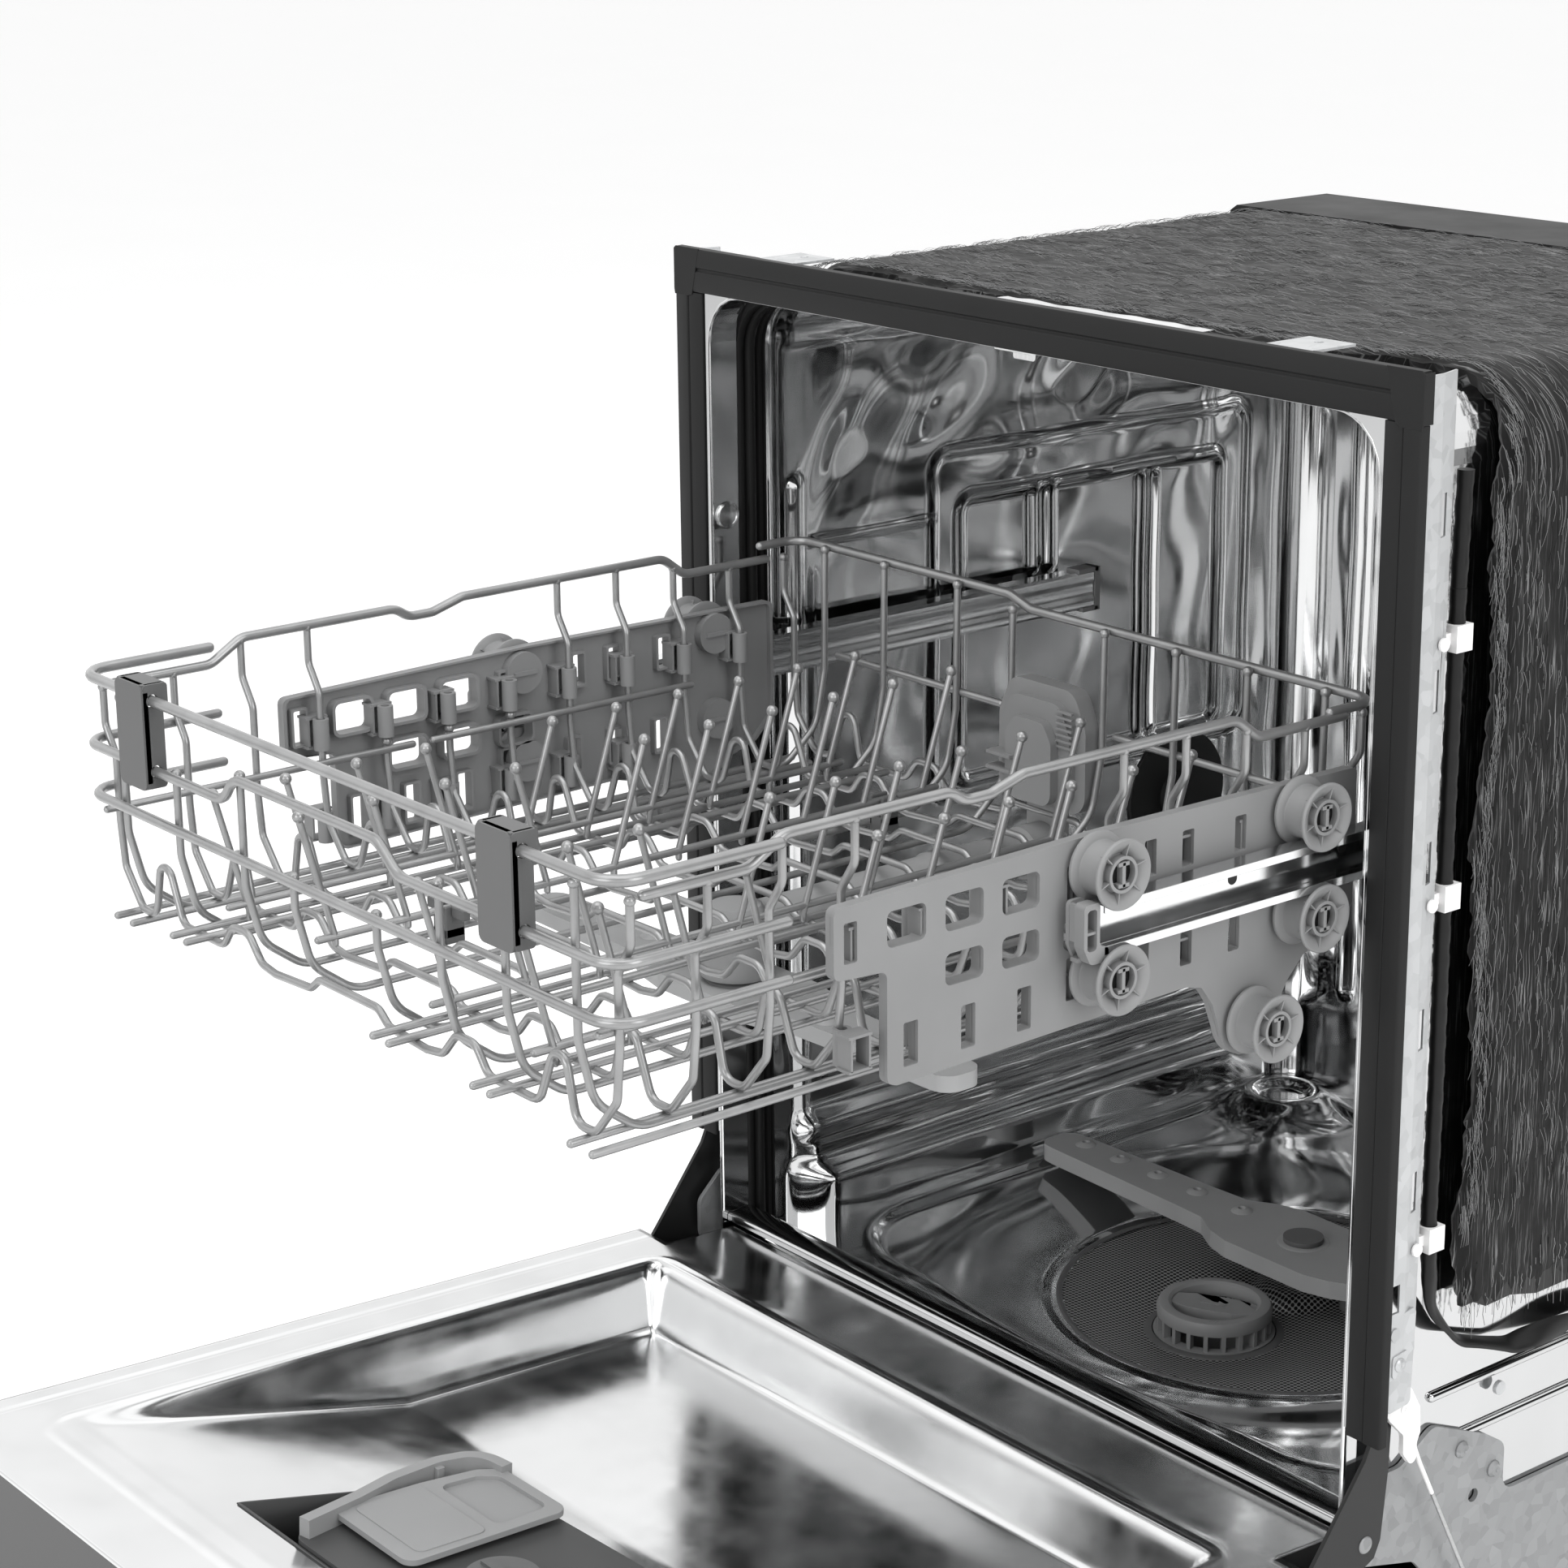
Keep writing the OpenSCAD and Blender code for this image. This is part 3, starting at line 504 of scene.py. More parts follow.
def coated_wire(name, level):
    """Satin silver-grey coating on wire, a little thicker in some places."""
    mat, tree, shader, place = principled(name, 0.33, metal=0.6, coat=0.25)
    slow = grain(tree, place, 45, detail=2)
    tint(tree, shader, between(tree, slow, 0.3, 0.7, 0, 1), grey(level * 0.88), grey(level * 1.08))
    relief(tree, shader, [(grain(tree, place, 160, detail=2), 0.12), (grain(tree, place, 1600), 0.015)])
    return mat


def woven_mesh(name):
    """Fine stainless mesh: rows of tiny square holes."""
    mat, tree, shader, place = principled(name, 0.4, metal=0.5)
    gap, _ = cells(tree, place, 350, randomness=0.0, stretch=(1, 1, 0.001))
    wire = between(tree, gap, 0.36, 0.5, 0, 1)
    tint(tree, shader, wire, grey(0.003), grey(0.42))
    relief(tree, shader, [(wire, 0.12), (grain(tree, place, 20), 0.4)])
    return mat


def fibre_felt(name):
    """Black needled fibre with pale streaks; its pattern runs with the 'weft' attribute."""
    mat, tree, shader, _ = principled(name, 0.8, specular=0.2)
    shader.inputs["Sheen Weight"].default_value = 0.1
    place = tree.nodes.new("ShaderNodeAttribute")
    place.attribute_name = "weft"
    place = place.outputs["Vector"]
    streak = grain(tree, place, 900, (0.03, 1, 1), 4)
    tuft = grain(tree, place, 70, (0.3, 1, 1), 4)
    both = combine(tree, "MULTIPLY", between(tree, streak, 0.54, 0.66, 0, 1),
                   between(tree, tuft, 0.4, 0.64, 0.08, 1))
    tint(tree, shader, both, grey(0.002), grey(0.2))
    relief(tree, shader, [(tuft, 0.25), (streak, 0.08)])
    return mat


def circuit_board(name):
    """Green board with tracks."""
    mat, tree, shader, place = principled(name, 0.35)
    track, _ = cells(tree, place, 300, "DISTANCE_TO_EDGE", 0.2)
    tint(tree, shader, between(tree, track, 0.02, 0.08, 1, 0), (0.02, 0.09, 0.04), (0.05, 0.2, 0.09))
    relief(tree, shader, [(track, 0.05)])
    return mat


TUB_STEEL = polished_steel("tub_steel", 0.57, 0.08, ripple=0.25)
DOOR_STEEL = polished_steel("door_liner_steel", 0.68, 0.17, ripple=0.2, scratch=(0.05, 1, 1))
RAIL_STEEL = polished_steel("rail_steel", 0.8, 0.14, ripple=0.08, scratch=(1, 0.03, 1))
SKIN_STEEL = brushed_steel("door_skin_steel", 0.5, (0.01, 1, 1))
EDGE_STEEL = brushed_steel("bright_edge_steel", 0.75, (1, 1, 0.02), 0.22)
ZINC = zinc_sheet("galvanised_sheet", 0.48, metal=0.5)
ZINC_DULL = zinc_sheet("galvanised_base", 0.3, 0.5, 0.6)
WIRE = coated_wire("coated_wire", 0.28)
PLATE_GREY = moulded("side_plate_grey", 0.21, 0.5, specular=0.3)
WHEEL_GREY = moulded("wheel_grey", 0.21, 0.45, specular=0.35)
CLIP_GREY = moulded("clip_grey", 0.095, 0.45, specular=0.35)
ARM_GREY = moulded("spray_arm_grey", 0.31, 0.45, specular=0.35)
DISPENSER_GREY = moulded("dispenser_grey", 0.27, 0.5, specular=0.3)
TRIM_BLACK = moulded("trim_black", 0.016, 0.5, 0.03, specular=0.14)
TRAY_BLACK = moulded("base_black", 0.016, 0.5, 0.03, specular=0.3)
GASKET_BLACK = moulded("gasket_rubber", 0.007, 0.5, 0.02, specular=0.25)
CABLE_BLACK = moulded("cable_black", 0.005, 0.42, 0.01, specular=0.25)
CONSOLE_BLACK = moulded("console_black", 0.022, 0.22, 0.01, coat=0.4)
NYLON = moulded("white_nylon", 0.78, 0.4, 0.02, cool=-0.01)
ENAMEL_BLACK = moulded("black_steel", 0.012, 0.35, 0.02, specular=0.3)
MESH = woven_mesh("filter_mesh")
FELT = fibre_felt("insulation_felt")
BOARD = circuit_board("circuit_board")
PUMP_GREY = moulded("pump_plastic", 0.06, 0.5, 0.03)
SPRING_STEEL = brushed_steel("zinc_wire", 0.5, (1, 0.1, 1), 0.35)


# ---- Upper rack ----

WIRE_ROWS = 12
WIRE_PITCH = (RACK_BACK - RACK_FRONT - 24) / (WIRE_ROWS - 1)
SHORT_ROWS = (4, 5, 6)
TINE_ROWS = (-140, 54, 140)
FOLD_X = -54
JOGGLE = 10
BARREL_X = RACK_X - JOGGLE


def row_y(i):
    """Place of the i-th cross wire, counted from the front."""
    return RACK_FRONT + 12 + WIRE_PITCH * i


def rim_height(y):
    """Height of the side rim's wire above the floor, with its dips for large plates."""
    marks = [(-431, -9), (-372, -9), (-352, 3), (-252, 3), (-243, -3), (-227, -3), (-206, 3), (-62, 3),
             (-46, -9), (17, -9)]
    ys, steps = zip(*marks)
    return RIM_Z + float(np.interp(y, ys, steps))


def side_rims(shape):
    for s in (-1, 1):
        marks = (-431, -372, -352, -252, -243, -227, -206, -62, -46, 17)
        tube(shape, [at(s * RACK_X, y, rim_height(y)) for y in marks], 5.4, 14)


def front_wires(shape):
    """Three wires round the front, their ends running back along the sides."""
    x, y = RACK_X + 2.4, RACK_FRONT
    tube(shape, [at(-x, -371, RIM_Z), at(-x, y, RIM_Z), at(x, y, RIM_Z), at(x, -356, RIM_Z)], 6, 17, steps=7)
    z0, z1 = RIM_Z - 38, RIM_Z - 24
    middle = [at(-x, -368, z0), at(-x, y, z0), at(-92, y, z0), at(-82, y, z1), at(52, y, z1), at(70, y, z0)]
    tube(shape, middle + [at(x, y, z0), at(x, -352, z0)], 5.4, 15, steps=6)
    z = RIM_Z - 66
    tube(shape, [at(-x, -366, z), at(-x, y, z), at(x, y, z), at(x, -352, z)], 5.4, 17, steps=7)


def rear_wires(shape):
    """The rim across the back, stepped beside the duct, and two short wires under it."""
    x, y = RACK_X - 1, RACK_BACK
    top = [at(-x, 12, RIM_Z), at(-x, y, RIM_Z), at(-44, y, RIM_Z), at(-26, y, RIM_Z - 6), at(x, y, RIM_Z - 6)]
    tube(shape, top + [at(x, 8, RIM_Z - 6)], 5.4, 14)
    for s in (-1, 1):
        tube(shape, [at(s * 196, y - 3, RIM_Z - 66), at(s * 48, y - 3, RIM_Z - 66)], 4.6, 0)


def cross_wire(shape, i):
    """A wire from rim to rim: joggled sides, then waves that keep glasses apart."""
    y = row_y(i)
    low_z = RACK_FLOOR - 14
    short = i in SHORT_ROWS
    shift = 5 if i % 2 else 0
    half = [(-BARREL_X, low_z + 46), (-BARREL_X + 3, low_z + 20), (-BARREL_X + 20, low_z), (-193, low_z)]
    half += [(-186 + shift, low_z + 30), (-176 + shift, low_z + 30), (-164, low_z + 2), (-122, low_z + 2)]
    half += [(-112, low_z + 15), (-96, low_z + 15), (-84, low_z + 2), (-70, low_z), (-36, low_z + 2)]
    half += [(-27, low_z + 9)]
    tops = [(-BARREL_X, RACK_FLOOR + 44)] if short else []
    if not short:
        rim = rim_height(y) - 1
        tops = [(-RACK_X, rim), (-RACK_X, rim - 21), (-BARREL_X, rim - 36)]
    half = tops + half
    full = half + [(-x, z) for x, z in reversed(half)]
    ends = 6 if short else 5.6
    tube(shape, [at(x, y, z) for x, z in full], 4.2, 8.5, 9, (ends, ends), steps=4)


def long_wire(shape, x, front_z, rear_z):
    """A wire from the front up-stand, along under the floor, to the rear up-stand."""
    low_z = RACK_FLOOR - 18.4
    y0, y1 = RACK_FRONT + 5, RACK_BACK - 5
    points = [(y0, front_z), (y0, low_z + 50), (y0 + 8, low_z + 18), (y0 + 32, low_z), (y1 - 34, low_z)]
    points += [(y1 - 8, low_z + 22), (y1 - 1, low_z + 56), (y1, rear_z)]
    tube(shape, [at(x, y, z) for y, z in points], 4.2, 22, 9, (6, 6))


def side_long_wires(shape):
    """Straight wires along each side wall, at half height and at the bottom."""
    for s in (-1, 1):
        tube(shape, [at(s * (BARREL_X - 3), RACK_FRONT + 3, 602), at(s * (BARREL_X - 3), -252, 602)], 4.2, 0)
        tube(shape, [at(s * (BARREL_X - 3), -238, 602), at(s * (BARREL_X - 3), -52, 602)], 4.2, 0)
        for x in (BARREL_X - 9, BARREL_X - 26):
            tube(shape, [at(s * x, RACK_FRONT + 2, RACK_FLOOR - 18.4),
                         at(s * x, RACK_BACK - 22, RACK_FLOOR - 18.4)], 4.2, 0)


def tine_row(shape, x, z, front_lean, back_lean):
    """Ball-tipped tines on one lengthwise wire: the front ones lean forward, the rest back."""
    y0 = RACK_FRONT + 38
    for i in range(10):
        y = y0 + 44 * i
        lean = front_lean if i < 4 else back_lean
        tube(shape, [at(x, y, z - 4), at(x, y, z), at(x + 2, y + lean, z + 68)], 3.8, 3, 8, (0, 6.6))


def rack_basket():
    shape = Shape()
    side_rims(shape)
    front_wires(shape)
    rear_wires(shape)
    for i in range(WIRE_ROWS):
        cross_wire(shape, i)
    for x, front_z in ((-206, 668), (-150, 638), (-84, 652), (-36, 610), (40, 610), (96, 640), (150, 638),
                       (206, 668)):
        long_wire(shape, x, front_z, RIM_Z - (1 if x < -40 else 7))
    side_long_wires(shape)
    for x in TINE_ROWS:
        for side in (-7, 7):
            tube(shape, [at(x + side, RACK_FRONT - 4, RACK_FLOOR - 9.6),
                         at(x + side, RACK_BACK - 18, RACK_FLOOR - 9.6)], 4.2, 0)
        tube(shape, [at(x, RACK_FRONT + 26, RACK_FLOOR + 1), at(x, RACK_BACK - 48, RACK_FLOOR + 1)], 4, 0)
        tine_row(shape, x, RACK_FLOOR - 3, -19, 21)
    piece("rack_wire_basket", shape, WIRE, "rack", ("rack_floor_grid", "rack_walls", "rack_tines"),
          angle=60)


def folding_row():
    shape = Shape()
    z = low("folding_tines").z + 2
    tube(shape, [at(FOLD_X, RACK_FRONT + 28, z), at(FOLD_X, RACK_BACK - 48, z)], 4.2, 0)
    tine_row(shape, FOLD_X, z, -19, 21)
    piece("folding_tine_row", shape, WIRE, "tine_flap", ("folding_tines",), angle=60)


def tine_holders():
    """Small snap holders that the folding row turns in, each with its split handle."""
    shape = Shape()
    for y in (row_y(2) + 10, row_y(9) + 10):
        for side in (-1, 1):
            block(shape, (FOLD_X + side * 3.4, y - 6, RACK_FLOOR - 10),
                  (FOLD_X + side * 6, y + 6, RACK_FLOOR + 8))
            block(shape, (FOLD_X + side * 6, y - 2.5, RACK_FLOOR + 2),
                  (FOLD_X + side * 17, y + 2.5, RACK_FLOOR + 8))
        block(shape, (FOLD_X - 6, y - 6, RACK_FLOOR - 13), (FOLD_X + 6, y + 6, RACK_FLOOR - 4))
    piece("folding_row_holders", shape, CLIP_GREY, "rack", bevel=0.9)


def front_clips():
    """Grey clips that join the front's top and middle wires, each with two wire notches."""
    shape = Shape()
    z1 = RIM_Z + 9
    for x in (-175, 160):
        y1 = RACK_FRONT + 6
        y0 = RACK_FRONT - 6.5
        outline = box2(x - 14, z1 - 57, x + 14, z1, 4)
        slab(shape, outline, y0, y0 + 4, facing_y)
        for side in (-1, 1):
            edge = x + side * 14
            outer = [(y0 + 1, z1 - 56), (y0 + 1, z1), (y1 + 3, z1), (y1 + 3, z1 - 12), (y1, z1 - 15),
                     (y1, z1 - 56)]
            slab(shape, loop2(outer, 2), edge - side * 3, edge, facing_x,
                 [circle2(RACK_FRONT, RIM_Z, 3.6, 14), circle2(RACK_FRONT, RIM_Z - 38, 3.4, 14)])
        block(shape, (x - 13, y0 + 1, z1 - 3.5), (x + 13, y1 + 2, z1))
    piece("front_wire_clips", shape, CLIP_GREY, "rack", ("rack_clips",), bevel=0.8)


PLATE_X = 244
WINDOWS_WIDE = [(-260, 613, -236, 631), (-224, 613, -200, 631), (-296, 613, -272, 631),
                (-260, 586, -236, 602),
                (-224, 586, -200, 602), (-184, 586, -162, 602)]
WINDOWS_TALL = [(-322, 611, -314, 631), (-286, 552, -277, 574), (-250, 552, -241, 574),
                (-214, 552, -205, 574),
                (-182, 607, -173, 629), (-182, 560, -173, 582), (-130, 612, -122, 631), (-104, 612, -96, 631),
                (-67, 612, -59, 631), (-134, 560, -126, 580), (-104, 560, -96, 580), (-70, 560, -62, 580)]


def plate_outline():
    """Side of a rack plate in Y and Z, with the hanging lug for the support wheel."""
    foot_y, foot_z = -54.6, 521
    lug = [(foot_y + 19.5 * math.cos(t), foot_z + 19.5 * math.sin(t)) for t in np.radians(range(190, 351,
            16))]
    points = [(-328, 639), (-328, 604), (-296, 602), (-296, 546), (-290, 544), (-100, 548), (-88, 545),
              (-80, 534)]
    return loop2(points + lug + [(-26, 534), (-14, 546), (8, 553), (22, 567), (22, 640), (-160, 642)], 4, 3)


def side_plate(s, name, node):
    """Rack side plate: a smooth outer face, framed windows, and barrels for the wires inside."""
    shape = Shape()
    windows = [box2(*w, 3.5) for w in WINDOWS_WIDE] + [box2(*w, 1) for w in WINDOWS_TALL]
    slab(shape, plate_outline(), s * (PLATE_X - 2.6), s * PLATE_X, facing_x, windows)
    for y0, z0, y1, z1 in WINDOWS_WIDE:
        slab(shape, box2(y0 - 1.8, z0 - 1.8, y1 + 1.8, z1 + 1.8, 5), s * (PLATE_X - 9), s * (PLATE_X - 2.4),
             facing_x,
             [box2(y0, z0, y1, z1, 3.5)])
    for y0, z0, y1, z1 in WINDOWS_TALL:
        slab(shape, box2(y0 - 1.4, z0 - 1.4, y1 + 1.4, z1 + 1.4, 1.5), s * (PLATE_X - 7), s * (PLATE_X - 2.4),
             facing_x,
             [box2(y0, z0, y1, z1, 1)])
    rim = plate_outline()
    inner = [Vector((p.x * 0.988 - 1.85, p.y * 0.975 + 14.8, 0)) for p in rim]
    slab(shape, rim, s * (PLATE_X - 6), s * (PLATE_X - 2.4), facing_x, [inner])
    for i in range(3, WIRE_ROWS):
        y = row_y(i)
        if y > 18:
            continue
        for z in (618, 564):
            if i > 8 and z < 600:
                continue
            barrel = [(4.6, z - 9), (4.6, z + 9), (2.5, z + 9), (2.5, z - 9)]
            lathe(shape, barrel, lambda a, b, c, y=y: at(s * BARREL_X + a, y + b, c), 16)
            for level in (z - 9, z + 8):
                block(shape, (s * (BARREL_X + 4), y - 7, level), (s * (PLATE_X - 2.4), y + 7, level + 1.4))
            for side in (-6, 5):
                block(shape, (s * (BARREL_X + 4), y + side, z - 8),
                      (s * (PLATE_X - 2.4), y + side + 1.2, z + 8))
    for y, z in WHEEL_PLACES:
        pin = [(0, PLATE_X - 4), (9.5, PLATE_X - 4), (9.5, PLATE_X + 1.6), (6.5, PLATE_X + 1.8),
               (4.9, PLATE_X + 2), (4.9, 260), (0, 260.4)]
        lathe(shape, pin, lambda a, b, c, y=y, z=z: at(s * c, y + a, z + b), 28)
        disc = [(0, PLATE_X - 9), (12.5, PLATE_X - 9), (12.5, PLATE_X - 2.5), (0, PLATE_X - 2.5)]
        lathe(shape, disc, lambda a, b, c, y=y, z=z: at(s * c, y + a, z + b), 28)
        block(shape, (s * (PLATE_X - 10.4), y - 8, z - 1.2), (s * (PLATE_X - 8.8), y + 8, z + 1.2))
    piece(name, shape, PLATE_GREY, "rack", (node,), bevel=0.45)


def wheel_place(node):
    """Y and Z of a wheel pair's axis."""
    centre = (low(node) + high(node)) / 2
    return centre.y, centre.z


WHEEL_NODES = ("upper_front_wheels", "upper_rear_wheels", "lower_front_wheels", "lower_rear_wheels",
               "support_wheels")
WHEEL_BODIES = ("upper_front_wheel_pair", "upper_rear_wheel_pair", "lower_front_wheel_pair",
                "lower_rear_wheel_pair",
                "support_wheel_pair")
WHEEL_PLACES = [wheel_place(n) for n in WHEEL_NODES]


WHEEL_X0, WHEEL_X1 = 246, 267
FLANGE_R, TREAD_R = 18, 13.7


def wheel_pairs():
    """Double-flanged rollers: a dished face with six thin ribs round a split hub, and a black disc of painted
    shade at the bottom of the hub.
    """
    x0, x1 = WHEEL_X0, WHEEL_X1
    flange, tread = FLANGE_R, TREAD_R
    for node, body, (y, z) in zip(WHEEL_NODES, WHEEL_BODIES, WHEEL_PLACES):
        shape, hub_shade = Shape(), Shape()
        for s in (-1, 1):
            def place(a, b, c, s=s, y=y, z=z):
                return at(s * c, y + a, z + b)
            profile = [(5.4, x0), (flange - 1.5, x0), (flange, x0 + 0.8), (flange, x0 + 2.2),
                       (flange - 0.8, x0 + 3),
                       (tread + 0.3, x0 + 4), (tread, x0 + 5), (tread, x1 - 5), (tread + 0.3, x1 - 4),
                       (flange - 0.8, x1 - 2.6),
                       (flange, x1 - 1.8), (flange, x1 - 0.8), (flange - 0.6, x1), (flange - 2, x1 - 0.2),
                       (10.5, x1 - 4.2), (10, x1 - 5), (5.4, x1 - 5)]
            lathe(shape, profile, place, 56)
            lathe(shape, [(7.6, x1 - 5.2), (9.4, x1 - 5.2), (9.4, x1 - 0.6), (7.6, x1 - 0.6)], place, 36)
            # A black disc at the bottom of each hub's hollow: painted shade.
            lathe(hub_shade, [(0, x1 - 4.9), (7.8, x1 - 4.9), (7.8, x1 - 4.4), (0, x1 - 4.4)], place, 24)
            for k in range(6):
                turn = math.pi * k / 3 + 0.3
                across = Vector((math.cos(turn), math.sin(turn)))
                aside = Vector((-across.y, across.x)) * 0.35
                corners = [across * 9 + aside, across * 16 + aside, across * 16 - aside, across * 9 - aside]
                base = [place(p.x, p.y, x1 - 5) for p in corners]
                tops = [place(p.x, p.y, x1 - drop) for p, drop in zip(corners, (1.2, 0.5, 0.5, 1.2))]
                prism(shape, base, tops)
            bars = ((-1.1, -6.6, 1.1, 6.6), (-3.6, 4.4, 3.6, 6.4), (-3.6, -6.4, 3.6, -4.4))
            for a0, b0, a1, b1 in bars:
                block(shape, (a0, b0, x1 - 4.8), (a1, b1, x1 - 0.4), place)
        piece(body.replace("_pair", "_hub_shade_discs"), hub_shade, CABLE_BLACK, body)
        piece(body.replace("_pair", "_rollers"), shape, WHEEL_GREY, body, (node,),
              bevel=0.25)


def feed_duct():
    """Water duct: an arched riser at the back, a round pipe forward and the arm's hub."""
    shape = Shape()
    y0, y1 = 24, 39
    arch = loop2([(-36, 562), (-36, 612), (-26, 634), (26, 634), (36, 612), (36, 562)], 12, 6)
    slab(shape, arch, y0 + 4, y1, facing_y)
    inner = loop2([(-28, 566), (-28, 608), (-20, 626), (20, 626), (28, 608), (28, 566)], 10, 6)
    slab(shape, inner, y0 - 1, y0 + 5, facing_y)
    slab(shape, loop2([(-19, 566), (-19, 604), (-12, 615), (12, 615), (19, 604), (19, 566)], 8, 6), y0 - 7,
         y0, facing_y)
    for k in range(7):
        z = 622 - 3.4 * k
        block(shape, (18, y0 - 2.4, z), (31, y0 - 0.6, z + 1.4))
    for z in (580, 589):
        block(shape, (-32, y0 - 10, z), (-12, y0, z + 2))
    socket = [(17, 47.2), (22, 47.2), (22, 36), (17, 36)]
    lathe(shape, socket, lambda a, b, c: at(a, c, 595 + b), 40)
    slab(shape, circle2(0, 595, 22, 40), y1 - 3, y1, facing_y)
    flange = [(0, -188), (13.2, -188), (13.2, -60), (14.6, -58), (14.6, -50), (13.2, -48), (13.2, 10),
              (15.5, 12), (15.5, 34), (0, 34)]
    lathe(shape, flange, lambda a, b, c: at(a, c, 536 + b), 36)
    block(shape, (-14, y0 + 6, 530), (14, y1 - 2, 566))
    hub = [(0, 512), (20, 512), (20, 515), (18, 518), (18, 545), (14, 551), (0, 553)]
    lathe(shape, hub, lambda a, b, c: at(a, -195 + b, c), 40)
    pin = [(0, 495), (12, 495), (12, 498.4), (6.8, 498.6), (6.8, 514), (0, 514)]
    lathe(shape, pin, lambda a, b, c: at(a, -195 + b, c), 30)
    piece("rack_feed_duct", shape, PLATE_GREY, "rack", ("feed_duct",), bevel=0.7)


def rail(s, name, node, body):
    """Bright C-shaped rail with rolled lips and its two moulded ends."""
    rear, front = -175, 308
    x0, x1, z0, z1, t = 250, 263, 587, 613, 1.2
    lip = 4.6
    profile = [(x1, z0 + lip), (x1 - t, z0 + lip), (x1 - t, z0 + t), (x0 + t, z0 + t), (x0 + t, z1 - t),
               (x1 - t, z1 - t), (x1 - t, z1 - lip), (x1, z1 - lip), (x1, z1), (x0 + 1.5, z1), (x0, z1 - 2),
               (x0, 606), (x0 + 0.9, 604),
               (x0 + 0.9, 596), (x0, 594), (x0, z0 + 2), (x0 + 1.5, z0), (x1, z0)]
    shape = Shape()
    slab(shape, [Vector((a, b, 0)) for a, b in profile], rear, front, lambda a, b, c: at(s * a, c, b))
    piece(name, shape, RAIL_STEEL, body, (node,), bevel=0.5)
    # Black discs on the rail's inner face stand for its two holes: painted shade inside them.
    dark = Shape()
    for y in (-75.5, 4.5):
        slab(dark, circle2(y, 602, 3.2, 20), s * (x0 - 0.15), s * (x0 + t + 0.15), facing_x)
    piece(name + "_hole_shade", dark, ENAMEL_BLACK, body)
    ends = Shape()
    stop = loop2([(rear - 13.5, z1 + 2), (rear - 13.5, z0 + 6), (rear - 9, z0 - 3), (rear + 3, z0 - 3),
                  (rear + 3, z0 + 5),
                  (rear - 3, z0 + 5), (rear - 3, z1 + 2)], 3.5, 4)
    slab(ends, stop, s * x0, s * (x0 + 2.2), facing_x)
    slab(ends, stop, s * (x1 - 7), s * x1, facing_x, [box2(rear - 11.2, z0 + 4, rear - 5, z1 - 1, 2)])
    block(ends, (s * (x0 + 2), rear - 13, z0 + 8), (s * (x1 - 6), rear - 11, z1 + 1))
    block(ends, (s * (x0 + 2), rear - 12, 599), (s * (x1 - 1), rear - 4, 600.4))
    block(ends, (s * (x0 + 2), rear - 12, z0 - 2.6), (s * (x1 - 6), rear + 2, z0 - 0.4))
    block(ends, (s * x0, front - 14, z1 - 1), (s * (x1 - 1), front + 4, z1 + 1.8))
    block(ends, (s * x0, front - 10, z0 - 1.8), (s * (x1 - 1), front + 4, z0 + 1))
    block(ends, (s * x0, front + 1, z0 - 1.8), (s * (x1 - 1), front + 5.6, z1 + 1.8))
    piece(name + "_stops", ends, WHEEL_GREY, body, bevel=0.5)


rack_basket()
folding_row()
tine_holders()
front_clips()
side_plate(1, "right_rack_plate", "rack_plate_right")
side_plate(-1, "left_rack_plate", "rack_plate_left")
wheel_pairs()
feed_duct()
rail(1, "right_rail_bar", "rail_right", "right_rail")
rail(-1, "left_rail_bar", "rail_left", "left_rail")


# ---- Tub ----

WALL_IN = 3.2
CORNER_R = 40
BACK_R = 34
CELL = 2.6
SILL_Z = high("tub_floor").z


def arch_path(half, top, radius, bottom, step):
    """Points up the left wall, across the ceiling and down the right wall, with inward normals."""
    rise = np.arange(bottom, top - radius, step)
    points = [(-half, z, 1, 0) for z in rise]
    turns = np.linspace(math.pi, math.pi / 2, max(4, int(radius * 1.57 / step)))
    points += [(-half + radius + radius * math.cos(t), top - radius + radius * math.sin(t), -math.cos(t),
                -math.sin(t))
               for t in turns]
    across = np.arange(-half + radius + step, 0, step)
    points += [(x, top, 0, -1) for x in across]
    mirrored = [(-x, z, -nx, nz) for x, z, nx, nz in reversed(points)]
    return np.array(points + [(0, top, 0, -1)] + mirrored)


def wall_relief(y, z):
    """How far a side wall's pressed pattern stands inward."""
    outer = box_distance(y, z, 186, 477, 470, 704, 16)
    inner = box_distance(y, z, 209, 452, 477, 672, 11)
    height = rib(outer, 4.5, 2.4) + rib(inner, 5, 3.4) - 1.2 * smooth(-inner / 6)
    for centre, z0, z1, wide, tall in ((275, 615, 668, 6, 4.6), (290, 615, 668, 6, 4.6),
                                       (376, 484, 664, 6, 4.2),
                                       (388, 484, 664, 5, 4.2), (70, 262, 700, 7.5, 5.2)):
        height = height + rib(segment_distance(y, z, centre, z0, centre, z1), wide, tall)
    height = height + rib(segment_distance(y, z, 84, 662, 184, 662), 3.2, 1.5)
    height = height + rib(segment_distance(y, z, 84, 640, 84, 500), 3.2, 1.0)
    height = height - 2.4 * smooth(1 - np.abs(y - 54) / 8) * smooth((z - 300) / 60)
    height = height + 1.6 * smooth((z - 786) / 5) * smooth((y - 60) / 8)
    loose = smooth((z - 640) / 70) * smooth((y - 75) / 40) * smooth((480 - y) / 40) * smooth((800 - z) / 20)
    swells = waves(y, z, 105, 5) * 6.5 + waves(y, z, 58, 9) * 2.0
    height = height + swells * (0.14 + 0.86 * loose) * smooth((y - 62) / 30)
    nose = smooth((y - 58) / 22)
    height = height + 10 * nose * smooth((280 - z) / 11) + 4 * nose * rib(z - 268, 7, 0.6)
    height = height + 16 * smooth((y - 52) / 30) * smooth((247 - z) / 13)
    height = height + rib(segment_distance(y, z, 92, 300, 470, 300), 5, 2.2) - 1.5 * nose * rib(z - 259, 5, 1)
    return np.maximum(height, -2.6)


